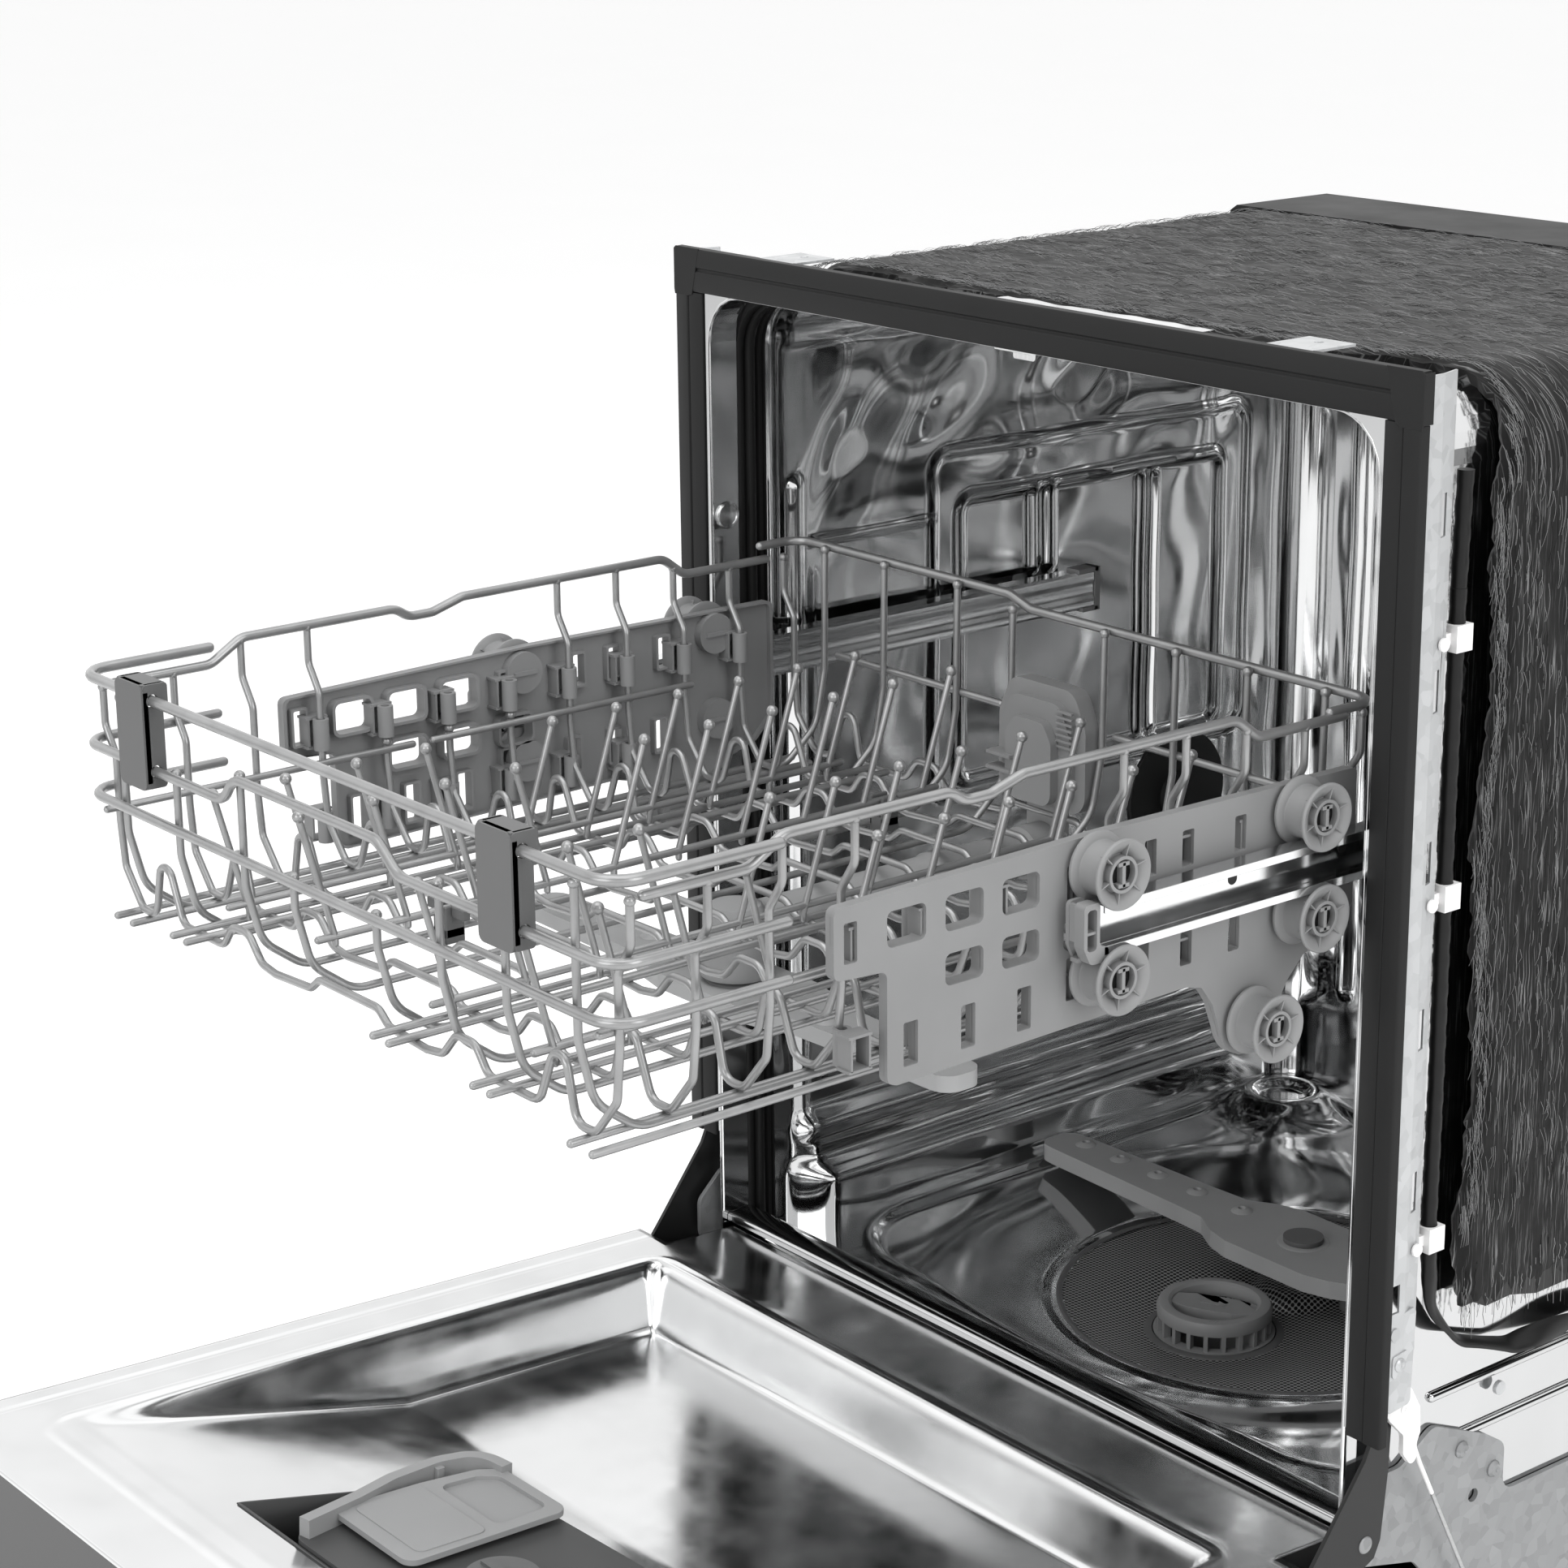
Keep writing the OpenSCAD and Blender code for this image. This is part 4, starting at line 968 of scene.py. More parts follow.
def tub_skin():
    """Thin polished skin of walls and ceiling, with everything that is pressed into them."""
    path = arch_path(TUB_X, TUB_TOP, CORNER_R, FLOOR_Z - 3, CELL)
    ys = np.arange(GASKET_Y - 1, BACK_Y - 1.5, CELL)
    ys = np.append(ys, BACK_Y - 1.6)
    side, y = np.meshgrid(np.arange(len(path)), ys, indexing="ij")
    px, pz, nx, nz = (path[:, i][side] for i in range(4))
    upright = np.abs(nx) ** 3
    pressed = wall_relief(y, pz) * upright
    ceiling = (waves(px, y, 160, 3) * 1.4 + rib(box_distance(px, y, -190, 190, 110, 430, 30), 7,
                                                3)) * (1 - upright)
    past = np.clip(y - (BACK_Y - 1.6 - BACK_R), 0, BACK_R)
    turn_in = BACK_R - np.sqrt(np.maximum(BACK_R ** 2 - past ** 2, 0))
    inset = WALL_IN + (pressed + ceiling) * smooth((BACK_Y - 20 - y) / 30) + turn_in
    points = np.stack([(px + nx * inset) * MM, y * MM + TRIM_Y, (pz + nz * inset) * MM], -1)
    shape = Shape()
    field(shape, points)
    piece("tub_inner_skin", shape, TUB_STEEL, "cabinet", angle=75)


def tub_back_skin():
    """Back wall with upright flutes."""
    half = TUB_X - WALL_IN - BACK_R + 1
    top = TUB_TOP - WALL_IN - BACK_R + 1
    x, z = np.meshgrid(np.arange(-half, half + 0.1, half / 95), np.linspace(FLOOR_Z - 3, top, 180),
                       indexing="ij")
    depth = waves(x, z, 170, 12) * 1.6
    for centre, wide, tall in ((214, 9, 7), (190, 8, 6), (158, 12, 4), (40, 8, 3)):
        for s in (-1, 1):
            depth = depth + rib(segment_distance(x, z, s * centre, 270, s * centre, 760), wide, tall)
    depth = depth + rib(box_distance(x, z, -120, 120, 330, 540, 20), 7, 3)
    depth = depth * smooth((half - np.abs(x)) / 12) * smooth((top - z) / 14)
    depth = depth * smooth((np.hypot(x, z - 597) - 26) / 12)
    y = BACK_Y - 1.7 - np.maximum(depth, -0.4)
    shape = Shape()
    field(shape, np.stack([x * MM, y * MM + TRIM_Y, z * MM], -1), (np.hypot(x, z - 597) > 18.5)[:-1, :-1])
    piece("tub_back_skin", shape, TUB_STEEL, "cabinet", angle=75)


def floor_height(x, y):
    """Height of the pressed floor."""
    r = np.hypot(x, y - DISC_Y)
    z = FILTER_Z + 1.2 + 11.5 * smooth((r - FILTER_R - 2) / 88)
    outline = box_distance(x, y, -236, 236, 62, 478, 70)
    z = z + 4 * smooth((outline + 8) / 12) + rib(outline - 1, 5, 1.6)
    z = z + rib(r - FILTER_R - 3, 4, 1.8)
    for s in (-1, 1):
        z = z + rib(segment_distance(x, y, s * 60, 420, s * 60, 460), 16, -2.5)
    boss = np.hypot(x + 203, y - 458)
    flare = np.clip((66 - boss) / 38, 0, 1)
    z = z + (high_boss - z) * flare ** 2.2
    z = z - 5.5 * smooth((22 - boss) / 5)
    return z + waves(x, y, 130, 21) * 0.8


high_boss = FLOOR_Z + 14


def tub_floor_skin():
    x, y = np.meshgrid(np.linspace(-TUB_X + 4, TUB_X - 4, 214), np.linspace(STEP_Y + 1, BACK_Y - 1.6, 200),
                       indexing="ij")
    z = floor_height(x, y)
    climb = smooth((STEP_Y + 6.5 - y) / 5.5)
    z = z + (SILL_Z - 0.5 - z) * climb
    keep = (np.hypot(x, y - DISC_Y) > FILTER_R - 3)[:-1, :-1]
    shape = Shape()
    field(shape, np.stack([x * MM, y * MM + TRIM_Y, z * MM], -1), keep)
    across = np.linspace(-NECK_X + 0.4, NECK_X - 0.4, 60)
    sill = [(4, SILL_Z - 5), (4, SILL_Z - 1.5), (5.2, SILL_Z), (STEP_Y - 4, SILL_Z),
            (STEP_Y - 1, SILL_Z + 0.8),
            (STEP_Y + 2, SILL_Z)]
    rows = [[at(a, b, c) for b, c in sill] for a in across]
    field(shape, np.array(rows))
    piece("tub_floor_pan", shape, TUB_STEEL, "cabinet", ("tub_floor",), angle=75)


def sweep_arch(name, profile, material, body, half, top, radius, bottom, replaces=(), step=7.0):
    """Sweeps a closed profile of (inset, y) round an arch-shaped opening."""
    path = arch_path(half, top, radius, bottom, step)
    shape = Shape()
    sweep(shape, [[at(x + nx * a, b, z + nz * a) for a, b in profile] for x, z, nx, nz in path], True)
    piece(name, shape, material, body, replaces, angle=40)


def gasket():
    y0, y1 = STEP_Y + 0.6, GASKET_Y
    profile = [(0.2, y0), (7.2, y0), (8.2, y0 + 1.5), (8.2, y0 + 4), (6.2, y0 + 5), (6.2, y0 + 6.4),
               (9.5, y0 + 7.4),
               (10.4, y0 + 9), (10.4, y0 + 11), (9.5, y0 + 12.4), (6.6, y0 + 13.2), (6.6, y0 + 14.6),
               (9, y0 + 15.6),
               (9, y0 + 18), (6, y0 + 19), (6, y0 + 20.6), (7.6, y0 + 21.6), (6.8, y1 - 0.5), (0.2, y1)]
    sweep_arch("door_seal", profile, GASKET_BLACK, "cabinet", TUB_X, TUB_TOP, CORNER_R, FLOOR_Z - 2,
               ("door_gasket",))


def neck_trimmings():
    """Rolled bright edge of the neck, the round plug in its side, and the ceiling's screws."""
    bead = [(-1.2 + 1.5 * math.cos(t), 1.4 + 1.5 * math.sin(t)) for t in np.linspace(0, 2 * math.pi, 9)[:-1]]
    sweep_arch("neck_rolled_edge", bead, EDGE_STEEL, "cabinet", NECK_X, NECK_TOP, 30, SILL_Z + 2)
    shape = Shape()
    for s in (-1, 1):
        def place(a, b, c, s=s):
            return at(s * (NECK_X - c), 12.4 + a, 690 + b)
        lathe(shape, [(0, -0.4), (8.6, -0.4), (8.6, 0.7), (7.4, 1.6), (5.2, 2.2), (0, 2.4)], place, 32)
        lathe(shape, [(6.6, 1.7), (7.6, 1.7), (7.6, 2.3), (6.6, 2.5)], place, 32)
    piece("neck_plugs", shape, EDGE_STEEL, "cabinet")
    shape = Shape()
    for x in (-150, -120, 30, 60, 150):
        def place(a, b, c, x=x):
            return at(x + a, 96 + b, TUB_TOP - WALL_IN - 1 - c)
        lathe(shape, [(0, -1), (5, -1), (5, 0.6), (3.6, 2.4), (0, 2.9)], place, 24)
    piece("ceiling_screws", shape, EDGE_STEEL, "cabinet")


def latch_hook():
    """Small pressed catch for the door's latch, nearly flush under the neck's ceiling."""
    top = high("latch_strike").z
    shape = Shape()
    slab(shape, box2(-17, 3, 17, 15, 3), top - 1.6, top - 0.2, facing_z, [box2(-9, 5, 9, 10, 1.5)[::-1]])
    slab(shape, box2(-9, top - 7, 9, top - 1, 2), 11.6, 13, facing_y)
    piece("latch_hook", shape, EDGE_STEEL, "cabinet", ("latch_strike",), bevel=0.4)


def mesh_plate():
    """Round mesh with its moulded rim, dished round the filter's mouth."""
    turns = np.linspace(0, 2 * math.pi, 97)
    grid, turn = np.meshgrid(np.linspace(0, 1, 26), turns, indexing="ij")
    filter_ring = 41.5
    bx, by = filter_ring * np.cos(turn), FILTER_Y + filter_ring * np.sin(turn)
    ox, oy = (FILTER_R - 4) * np.cos(turn), DISC_Y + (FILTER_R - 4) * np.sin(turn)
    x, y = bx + (ox - bx) * grid, by + (oy - by) * grid
    near = np.hypot(x, y - FILTER_Y)
    z = FILTER_Z + 0.2 - 6 * smooth((95 - near) / 54)
    z = z + (FILTER_Z + 4 - z) * smooth((34 - np.hypot(x, y - ARM_Y)) / 14) * smooth((near - 44) / 10)
    shape = Shape()
    field(shape, np.stack([x * MM, y * MM + TRIM_Y, z * MM], -1))
    piece("filter_mesh_plate", shape, MESH, "cabinet", ("filter_plate",), angle=75, thick=0.8)
    shape = Shape()
    r = FILTER_R
    lathe(shape, [(r - 5, FILTER_Z - 1.5), (r - 0.6, FILTER_Z - 1.5), (r - 0.4, FILTER_Z + 1.6),
                  (r - 2, FILTER_Z + 2.4), (r - 4.4, FILTER_Z + 1.4)],
          lambda a, b, c: at(a, DISC_Y + b, c), 96)
    z = FILTER_Z - 6
    lathe(shape, [(39, z - 2), (44.4, z - 2), (44.4, z + 0.6), (43, z + 1.6), (39, z + 1.8)],
          lambda a, b, c: at(a, FILTER_Y + b, c), 64)
    piece("filter_plate_rims", shape, CLIP_GREY, "cabinet", bevel=0.4)


def filter_handle():
    """Twist-out filter: a slotted cup, a ring handle with a wide cross bar, and a turn arrow."""
    top = high("filter_cylinder").z
    bottom = low("filter_cylinder").z

    def place(a, b, c):
        return at(a, FILTER_Y + b, c)

    shape = Shape()
    lathe(shape, [(26, top - 9), (36, top - 9), (36.6, top - 4), (35, top - 0.6), (33, top), (29, top),
                  (27, top - 1.5), (26, top - 5)], place, 64)
    lathe(shape, [(30, top - 21), (38, top - 21), (38.4, top - 19), (30, top - 19)], place, 64)
    for k in range(20):
        turn = 2 * math.pi * k / 20
        across, aside = Vector((math.cos(turn), math.sin(turn))), Vector((-math.sin(turn),
                math.cos(turn))) * 1.4
        corners = [across * 31 + aside, across * 36 + aside, across * 36 - aside, across * 31 - aside]
        base = [place(p.x, p.y, top - 20) for p in corners]
        tops = [place(p.x, p.y, top - 8) for p in corners]
        prism(shape, base, tops)
    lathe(shape, [(30, bottom), (36, bottom), (36, top - 20), (34, top - 20), (34, bottom + 3),
                  (30, bottom + 3)], place, 48)
    bar = loop2([(-31, -6), (-14, -11), (14, -11), (31, -6), (31, 6), (14, 11), (-14, 11), (-31, 6)], 5, 4)
    lean = math.radians(28)
    turned = [Vector((p.x * math.cos(lean) - p.y * math.sin(lean),
                      p.x * math.sin(lean) + p.y * math.cos(lean), 0)) for p in bar]
    slab(shape, turned, top - 9, top - 2.2, place)
    piece("filter_cup", shape, PLATE_GREY, "filter_insert", ("filter_cylinder",),
          bevel=0.7)
    shape = Shape()
    arrow = [(-9, -1.3), (2, -1.3), (2, -3.6), (8, 0), (2, 3.6), (2, 1.3), (-9, 1.3)]
    for turn, reach in ((lean, 0), (lean + 2.2, 31.6), (lean - 1.3, 31.6)):
        size = 1 if reach == 0 else 0.34
        pts = []
        for a, b in arrow:
            a, b = a * size, b * size
            if reach:
                pts.append(Vector((reach * math.cos(turn) - a * math.sin(turn) + b * math.cos(turn),
                                   reach * math.sin(turn) + a * math.cos(turn) + b * math.sin(turn), 0)))
            else:
                pts.append(Vector((a * math.cos(turn) - b * math.sin(turn),
                                   a * math.sin(turn) + b * math.cos(turn), 0)))
        level = top - 2.3 if reach == 0 else top - 0.1
        slab(shape, pts, level, level + 0.5, place)
    piece("filter_turn_arrows", shape, WHEEL_GREY, "filter_insert", bevel=0.1)


def sump_bowl():
    """Black bowl under the mesh, with the filter's well."""
    shape = Shape()
    r = FILTER_R + 3
    bottom = low("sump").z
    lathe(shape, [(40, 137), (r, 137), (r, FILTER_Z - 1.4), (r - 6, FILTER_Z - 1.4), (r - 7, 141), (40, 141)],
          lambda a, b, c: at(a, DISC_Y + b, c), 72)
    lathe(shape, [(0, bottom), (47, bottom), (48, bottom + 2), (48, 140), (44, 140), (44, bottom + 4),
                  (0, bottom + 4)],
          lambda a, b, c: at(a, FILTER_Y + b, c), 48)
    piece("sump_bowl", shape, TRAY_BLACK, "cabinet", ("sump",), bevel=0.8)


def arm_outline(tip, hub, half, waist):
    """Plan of a spray arm: round tips, blades that widen inwards, and a broad hub."""
    half_ring = [(34, -hub), (52, -hub * 0.86), (70, -waist - 1.5), (96, -waist), (tip - half, -half),
                 (tip - half * 0.4, -half * 0.94),
                 (tip, -half * 0.5), (tip, half * 0.5), (tip - half * 0.4, half * 0.94), (tip - half, half),
                 (96, waist),
                 (70, waist + 1.5), (52, hub * 0.86), (34, hub)]
    left = [(-a, -b) for a, b in half_ring]
    return loop2(half_ring + left, 9, 4)


def spray_arm(name, node, body, centre_y, hub, half, waist, nozzles):
    """Hollow spray arm with raised round nozzles, a skirt and a domed hub."""
    top, bottom = high(node).z, low(node).z
    tip = high(node).x - 6

    def place(a, b, c):
        return at(a, centre_y + b, c)

    outline = arm_outline(tip, hub, half, waist)
    shape = Shape()
    slab(shape, outline, bottom, top - 0.2, place)
    piece(name, shape, ARM_GREY, body, (node,), bevel=2.2)
    detail = Shape()
    for reach in nozzles:
        for s in (-1, 1):
            def nozzle(a, b, c, reach=reach, s=s):
                return place(s * reach + a, s * -6 + b, c)
            lathe(detail, [(0, top - 1), (7.4, top - 1), (7.2, top), (4.8, top + 1.5), (2.6, top + 1.9),
                           (1.6, top - 0.6), (0, top - 0.9)],
                  nozzle, 26)
    lathe(detail, [(0, top - 1), (17, top - 1), (17, top - 0.1), (15.6, top + 0.5), (0, top + 0.5)], place,
          40)
    piece(name + "_nozzles", detail, ARM_GREY, body)


def wall_rails():
    """Rounded bars pressed along the outside of the tub near its foot."""
    shape = Shape()
    for s in (-1, 1):
        for z in (284, 254):
            tube(shape, [at(s * (TUB_X + 1.6), 60, z), at(s * (TUB_X + 1.6), BACK_Y - 8, z)], 6, 0, 14)
    piece("tub_foot_ribs", shape, TUB_STEEL, "cabinet")


sump_bowl()
spray_arm("lower_spray_blade", "lower_spray_arm", "lower_arm", ARM_Y, 37, 16, 20, (60, 101, 138, 174, 208))
spray_arm("middle_spray_blade", "middle_spray_arm", "middle_arm", -195, 28, 14, 16, (50, 84, 118, 150))
wall_rails()
tub_skin()
tub_back_skin()
tub_floor_skin()
gasket()
neck_trimmings()
latch_hook()
mesh_plate()
filter_handle()


# ---- Door ----

PIVOT_Z = 220
LINER_W = -3.3
DISH_DEPTH = 42
DOOR_TILT = math.radians(87)
LINER_X = high("door_liner").x


def door(x, w, v):
    """A place in the closed door's own frame, swung to where the door rests open."""
    y = w * math.cos(DOOR_TILT) - v * math.sin(DOOR_TILT)
    z = PIVOT_Z + w * math.sin(DOOR_TILT) + v * math.cos(DOOR_TILT)
    return at(x, y, z)


def liner_depth(x, v):
    """How deep the liner's dish is: steep sides and lower end, and a long slope to the top."""
    side = smooth((250 - np.abs(x)) / 17)
    lower = smooth((v - 68) / 16)
    slope = np.clip((480 - v) / 212, 0, 1)
    slope = np.where(slope > 0.93, 0.93 + (slope - 0.93) * 0.99, slope)
    return DISH_DEPTH * side * lower * slope


def door_liner_sheet():
    """Polished inner sheet of the door with its deep dish and folded edge."""
    xs = np.concatenate([[-LINER_X, -LINER_X + 0.5], np.linspace(-LINER_X + 2, LINER_X - 2, 240),
                         [LINER_X - 0.5, LINER_X]])
    vs = np.concatenate([np.arange(-8, 60, 4.0), np.arange(60, 100, 1.3), np.arange(100, 548, 3.2), [548]])
    x, v = np.meshgrid(xs, vs, indexing="ij")
    w = LINER_W - liner_depth(x, v) + waves(x, v, 180, 30) * 0.25
    edge = np.abs(x) - (LINER_X - 16)
    w = w - rib(edge, 1.6, 1.1) * (v > 44)
    w = w - 2.4 * smooth((np.abs(x) - LINER_X + 2) / 2)
    w = w + rib(box_distance(x, v, -256, 256, 62, 500, 20), 3.4, 0.5)
    keep = ~((x > -76) & (x < 88) & (v > 321) & (v < 455)) & ~((x > -113) & (x < -70) & (v > 372) & (v < 455))
    keep &= ~((np.abs(x) > 268.5) & (v < 45))
    tilt_c, tilt_s = math.cos(DOOR_TILT), math.sin(DOOR_TILT)
    y = w * tilt_c - v * tilt_s
    z = PIVOT_Z + w * tilt_s + v * tilt_c
    shape = Shape()
    field(shape, np.stack([x * MM, y * MM + TRIM_Y, z * MM], -1), keep[:-1, :-1])
    piece("door_liner_sheet", shape, DOOR_STEEL, "door", ("door_liner",), angle=75, thick=0.5)


def flat_on_door(a, b, c):
    """Places an outline drawn in X and the door's length at a height over the liner."""
    return door(a, c, b)


def recess_walls():
    """Walls round the dispenser's recess, coloured dark as painted shade; their upper edge follows the
    liner's dish.
    """
    corners = [(88, 321), (88, 455), (-113, 455), (-113, 372), (-76, 372), (-76, 321)]
    rim = []
    for (a0, b0), (a1, b1) in zip(corners, corners[1:] + corners[:1]):
        steps = max(2, int(math.hypot(a1 - a0, b1 - b0) / 4))
        rim += [(a0 + (a1 - a0) * k / steps, b0 + (b1 - b0) * k / steps) for k in range(steps)]
    rows = [[door(a, w, b) for w in (-45, -24, LINER_W + 0.7 - float(liner_depth(a, b)))] for a,
            b in rim + rim[:1]]
    shape = Shape()
    field(shape, np.array(rows))
    piece("dispenser_recess_walls", shape, DISPENSER_PAINTED_SHADE, "door", angle=30, thick=1.8)


def dispenser():
    """Detergent dispenser: a recess coloured dark as painted shade, a bowed guide rail, and a housing with
    cast ribs.
    """
    recess_walls()
    shape = Shape()
    # The recess floor and the housing body take the dark grey of painted shade.
    slab(shape, box2(-114, 320, 89, 456, 2), -46, -44, flat_on_door)
    slab(shape, loop2([(-60, 330), (86, 322), (86, 453), (-60, 453)], 8, 4), -44, -5.5, flat_on_door)
    piece("dispenser_recess", shape, DISPENSER_PAINTED_SHADE, "door", ("dispenser_housing",),
          bevel=0.5)
    shape = Shape()
    bow = [Vector(p) for p in ((-58, 450, 0), (-66, 412, 0), (-74, 385, 0), (-77.5, 352, 0), (-73, 332, 0),
                               (-62, 323.5, 0), (-46, 321.5, 0))]
    line = rounded(bow, 30, 6)
    inner = []
    for k, p in enumerate(line):
        ahead = (line[min(k + 1, len(line) - 1)] - line[max(k - 1, 0)]).normalized()
        inner.append(p + Vector((-ahead.y, ahead.x, 0)) * 7.5)
    slab(shape, line + inner[::-1], -43, 5.2, flat_on_door)
    for v in (352, 398):
        slab(shape, box2(-70.6, v, -66.2, v + 5, 1), -6, 3, flat_on_door)
    piece("dispenser_bowed_rail", shape, DISPENSER_GREY, "door", bevel=1.1)
    shape = Shape()
    lid = loop2([(-62, 428), (-61, 372), (-57, 338), (-49, 325), (12, 324), (14, 428)], 8, 5)
    pocket = loop2([(-52, 366), (-50, 342), (-43, 332), (2, 331), (5, 366)], 6, 5)
    slab(shape, lid, -1.9, 1.6, flat_on_door, [pocket[::-1]])
    slab(shape, [p + (p - Vector((-22, 349, 0))) * 0.06 for p in pocket], -1.9, -0.9, flat_on_door)
    slab(shape, loop2([(-56, 418), (-56, 374), (8, 374), (8, 418)], 5, 4), 1.4, 2.3, flat_on_door)
    piece("dispenser_sliding_lid", shape, DISPENSER_GREY, "detergent_lid", ("dispenser_lid",),
          bevel=0.8)


# Dark grey for the dispenser's recess walls and recessed housing: painted shade.
DISPENSER_PAINTED_SHADE = moulded("dispenser_recess_painted_shade", 0.06, 0.5, specular=0.3)
door_liner_sheet()
dispenser()


# ---- Outside ----

BLANKET_FRONT, BLANKET_BACK = low("insulation_blanket").y, high("insulation_blanket").y
BLANKET_LOW = low("insulation_blanket").z
BLANKET_X = high("insulation_blanket").x
BLANKET_TOP = high("insulation_blanket").z
STRIP_X = HALF_W - 1
PALE_STRANDS, DARK_STRANDS = 9000, 3000


def blanket():
    """Felt wrapped over the tub: one closed, uneven mat with ragged edges and loose fibres."""
    path = arch_path(BLANKET_X - 1, BLANKET_TOP - 1, 52, BLANKET_LOW, 4.0)
    run = np.arange(len(path)) * 4.0
    pick = np.random.default_rng(8)
    ragged = np.cumsum(pick.normal(0, 1.6, len(path)))
    ragged = ragged - np.convolve(ragged, np.ones(31) / 31, "same") + waves(run, run * 0, 170, 2) * 7
    level = np.abs(path[:, 3])
    front = BLANKET_FRONT + ragged + 6 + 8 * level * smooth((np.abs(path[:, 0]) - 100) / 100) + 14 * level
    skirt = pick.normal(0, 3.2, 140)
    rows = []
    depth = np.linspace(0, 1, 120)
    for i, (x, z, nx, nz) in enumerate(path):
        y = front[i] + (BLANKET_BACK - 1 - front[i]) * depth
        lump = waves(run[i] + 0 * y, y, 90, 4) * 1.6 + waves(run[i] + 0 * y, y, 24, 6) * 0.8
        lump = lump - 1.4 * level[i] * smooth((y - 60) / 60) * smooth((180 - y) / 60)
        lump = lump + 3.5 * smooth((12 - (y - front[i])) / 12) + pick.normal(0, 0.22, len(y))
        lump = np.maximum(lump, -0.6)
        inner = 10.5 - 3.6 * (1 - level[i])
        outer_line = [at(x + nx * o, b, z + nz * o) for o, b in zip(lump, y)]
        inner_line = [at(x + nx * inner, b, z + nz * inner) for b in (y[-1], front[i] + 3)]
        if i in (0, len(path) - 1):
            drop = skirt[:len(y)] * 1.3
            outer_line = [p + Vector((0, 0, d * MM)) for p, d in zip(outer_line, drop)]
        rows.append(outer_line + inner_line)
    shape = Shape()
    sweep(shape, rows, clockwise=True)
    obj = piece("insulation_felt", shape, FELT, "cabinet", ("insulation_blanket",), angle=60)
    weft(obj)
    return path, front


def weft(obj):
    """Stores the felt's own coordinates: along the wrap, and back."""
    mesh = obj.data
    spots = np.empty(len(mesh.vertices) * 3)
    mesh.vertices.foreach_get("co", spots)
    spots = spots.reshape(-1, 3)
    turn = np.arctan2(spots[:, 0], spots[:, 2] - 0.45)
    flat = spots[:, 2] > 0.79
    along = np.where(flat, spots[:, 0], np.sign(turn) * (0.24 + 0.84 - spots[:, 2]))
    store = mesh.attributes.new("weft", "FLOAT_VECTOR", "POINT")
    store.data.foreach_set("vector", np.stack([along, spots[:, 1], spots[:, 2] * 0],
                                              -1).astype(np.float32).ravel())


def loose_fibres(path, front):
    """Pale and dark strands lying on the felt and sticking out of its front and lower edges."""
    pick = np.random.default_rng(17)
    for name, count, material in (("felt_pale_strands", PALE_STRANDS, STRAND_PALE),
                                  ("felt_dark_strands", DARK_STRANDS, STRAND_DARK)):
        shape = Shape()
        for _ in range(count):
            i = int(pick.integers(2, len(path) - 14))
            at_edge = pick.random() < 0.16
            y = front[i] + pick.uniform(-2.5, 6) if at_edge else pick.uniform(front[i] + 2, BLANKET_BACK - 2)
            span = int(pick.integers(2, 6))
            sway = pick.normal(0, 0.45)
            lift = pick.uniform(0.6, 1.8)
            half = pick.uniform(0.06, 0.15)
            spots = []
            for k in range(span + 1):
                x, z, nx, nz = path[i + k]
                bow = lift * math.sin(math.pi * k / span)
                base = at(x - nx * (bow + 1.0), y + sway * k, z - nz * (bow + 1.0))
                spots += [base + Vector((0, -half * MM, 0)),
                          base + Vector((nx * half * 0.8, half, nz * half * 0.8)) * MM]
            shape.add(spots, [(2 * k, 2 * k + 1, 2 * k + 3, 2 * k + 2) for k in range(span)])
        for _ in range(count // 9):
            s = 1 if pick.random() < 0.5 else -1
            y = pick.uniform(front[0], BLANKET_BACK - 3)
            z = BLANKET_LOW + pick.uniform(2, 26)
            reach = pick.uniform(8, 30)
            x = s * (BLANKET_X - pick.uniform(0.5, 8))
            spots = []
            for k in range(5):
                spot = at(x, y + pick.normal(0, 0.7), z - reach * k / 4)
                spots += [spot + Vector((0, -0.14 * MM, 0)), spot + Vector((0, 0.14 * MM, 0))]
            shape.add(spots, [(2 * k, 2 * k + 1, 2 * k + 3, 2 * k + 2) for k in range(4)])
        piece(name, shape, material, "cabinet", thick=0.12)


def foil_patch():
    """Crinkled bright foil that holds the felt's front edge down on the tub's roof."""
    x, y = np.meshgrid(np.linspace(-72, 92, 120), np.linspace(6, 66, 50), indexing="ij")
    y = y + waves(x, x * 0, 40, 15) * 2
    z = BLANKET_TOP + 0.6 + waves(x, y, 34, 40) * 0.8 + waves(x, y, 13, 41) * 0.35 - 7 * smooth((34 - y) / 26)
    shape = Shape()
    field(shape, np.stack([x * MM, y * MM + TRIM_Y, z * MM], -1))
    piece("foil_patch", shape, FOIL, "cabinet", angle=70, thick=0.2)


def side_trim_strips():
    """Stepped black strips down both sides, each with a rounded outer edge and a fine groove."""
    inner = NECK_X + 4
    z0, z1 = low("side_trims").z, high("side_trims").z
    profile = [(inner, 0), (inner, -1.2), (inner + 1.2, -2), (HALF_W - 13, -2), (HALF_W - 12.4, -1.2),
               (HALF_W - 11.6, -2.6),
               (HALF_W - 1.4, -2.6), (HALF_W - 0.4, -2), (HALF_W, -0.8), (HALF_W, 3.6), (HALF_W - 1, 3.6),
               (HALF_W - 1, 0)]
    shape = Shape()
    for s in (-1, 1):
        slab(shape, [Vector((a, b, 0)) for a, b in profile], z0, z1, lambda a, b, c, s=s: at(s * a, b, c))
    piece("side_trim_strips", shape, TRIM_BLACK, "cabinet", ("side_trims",), bevel=0.35)


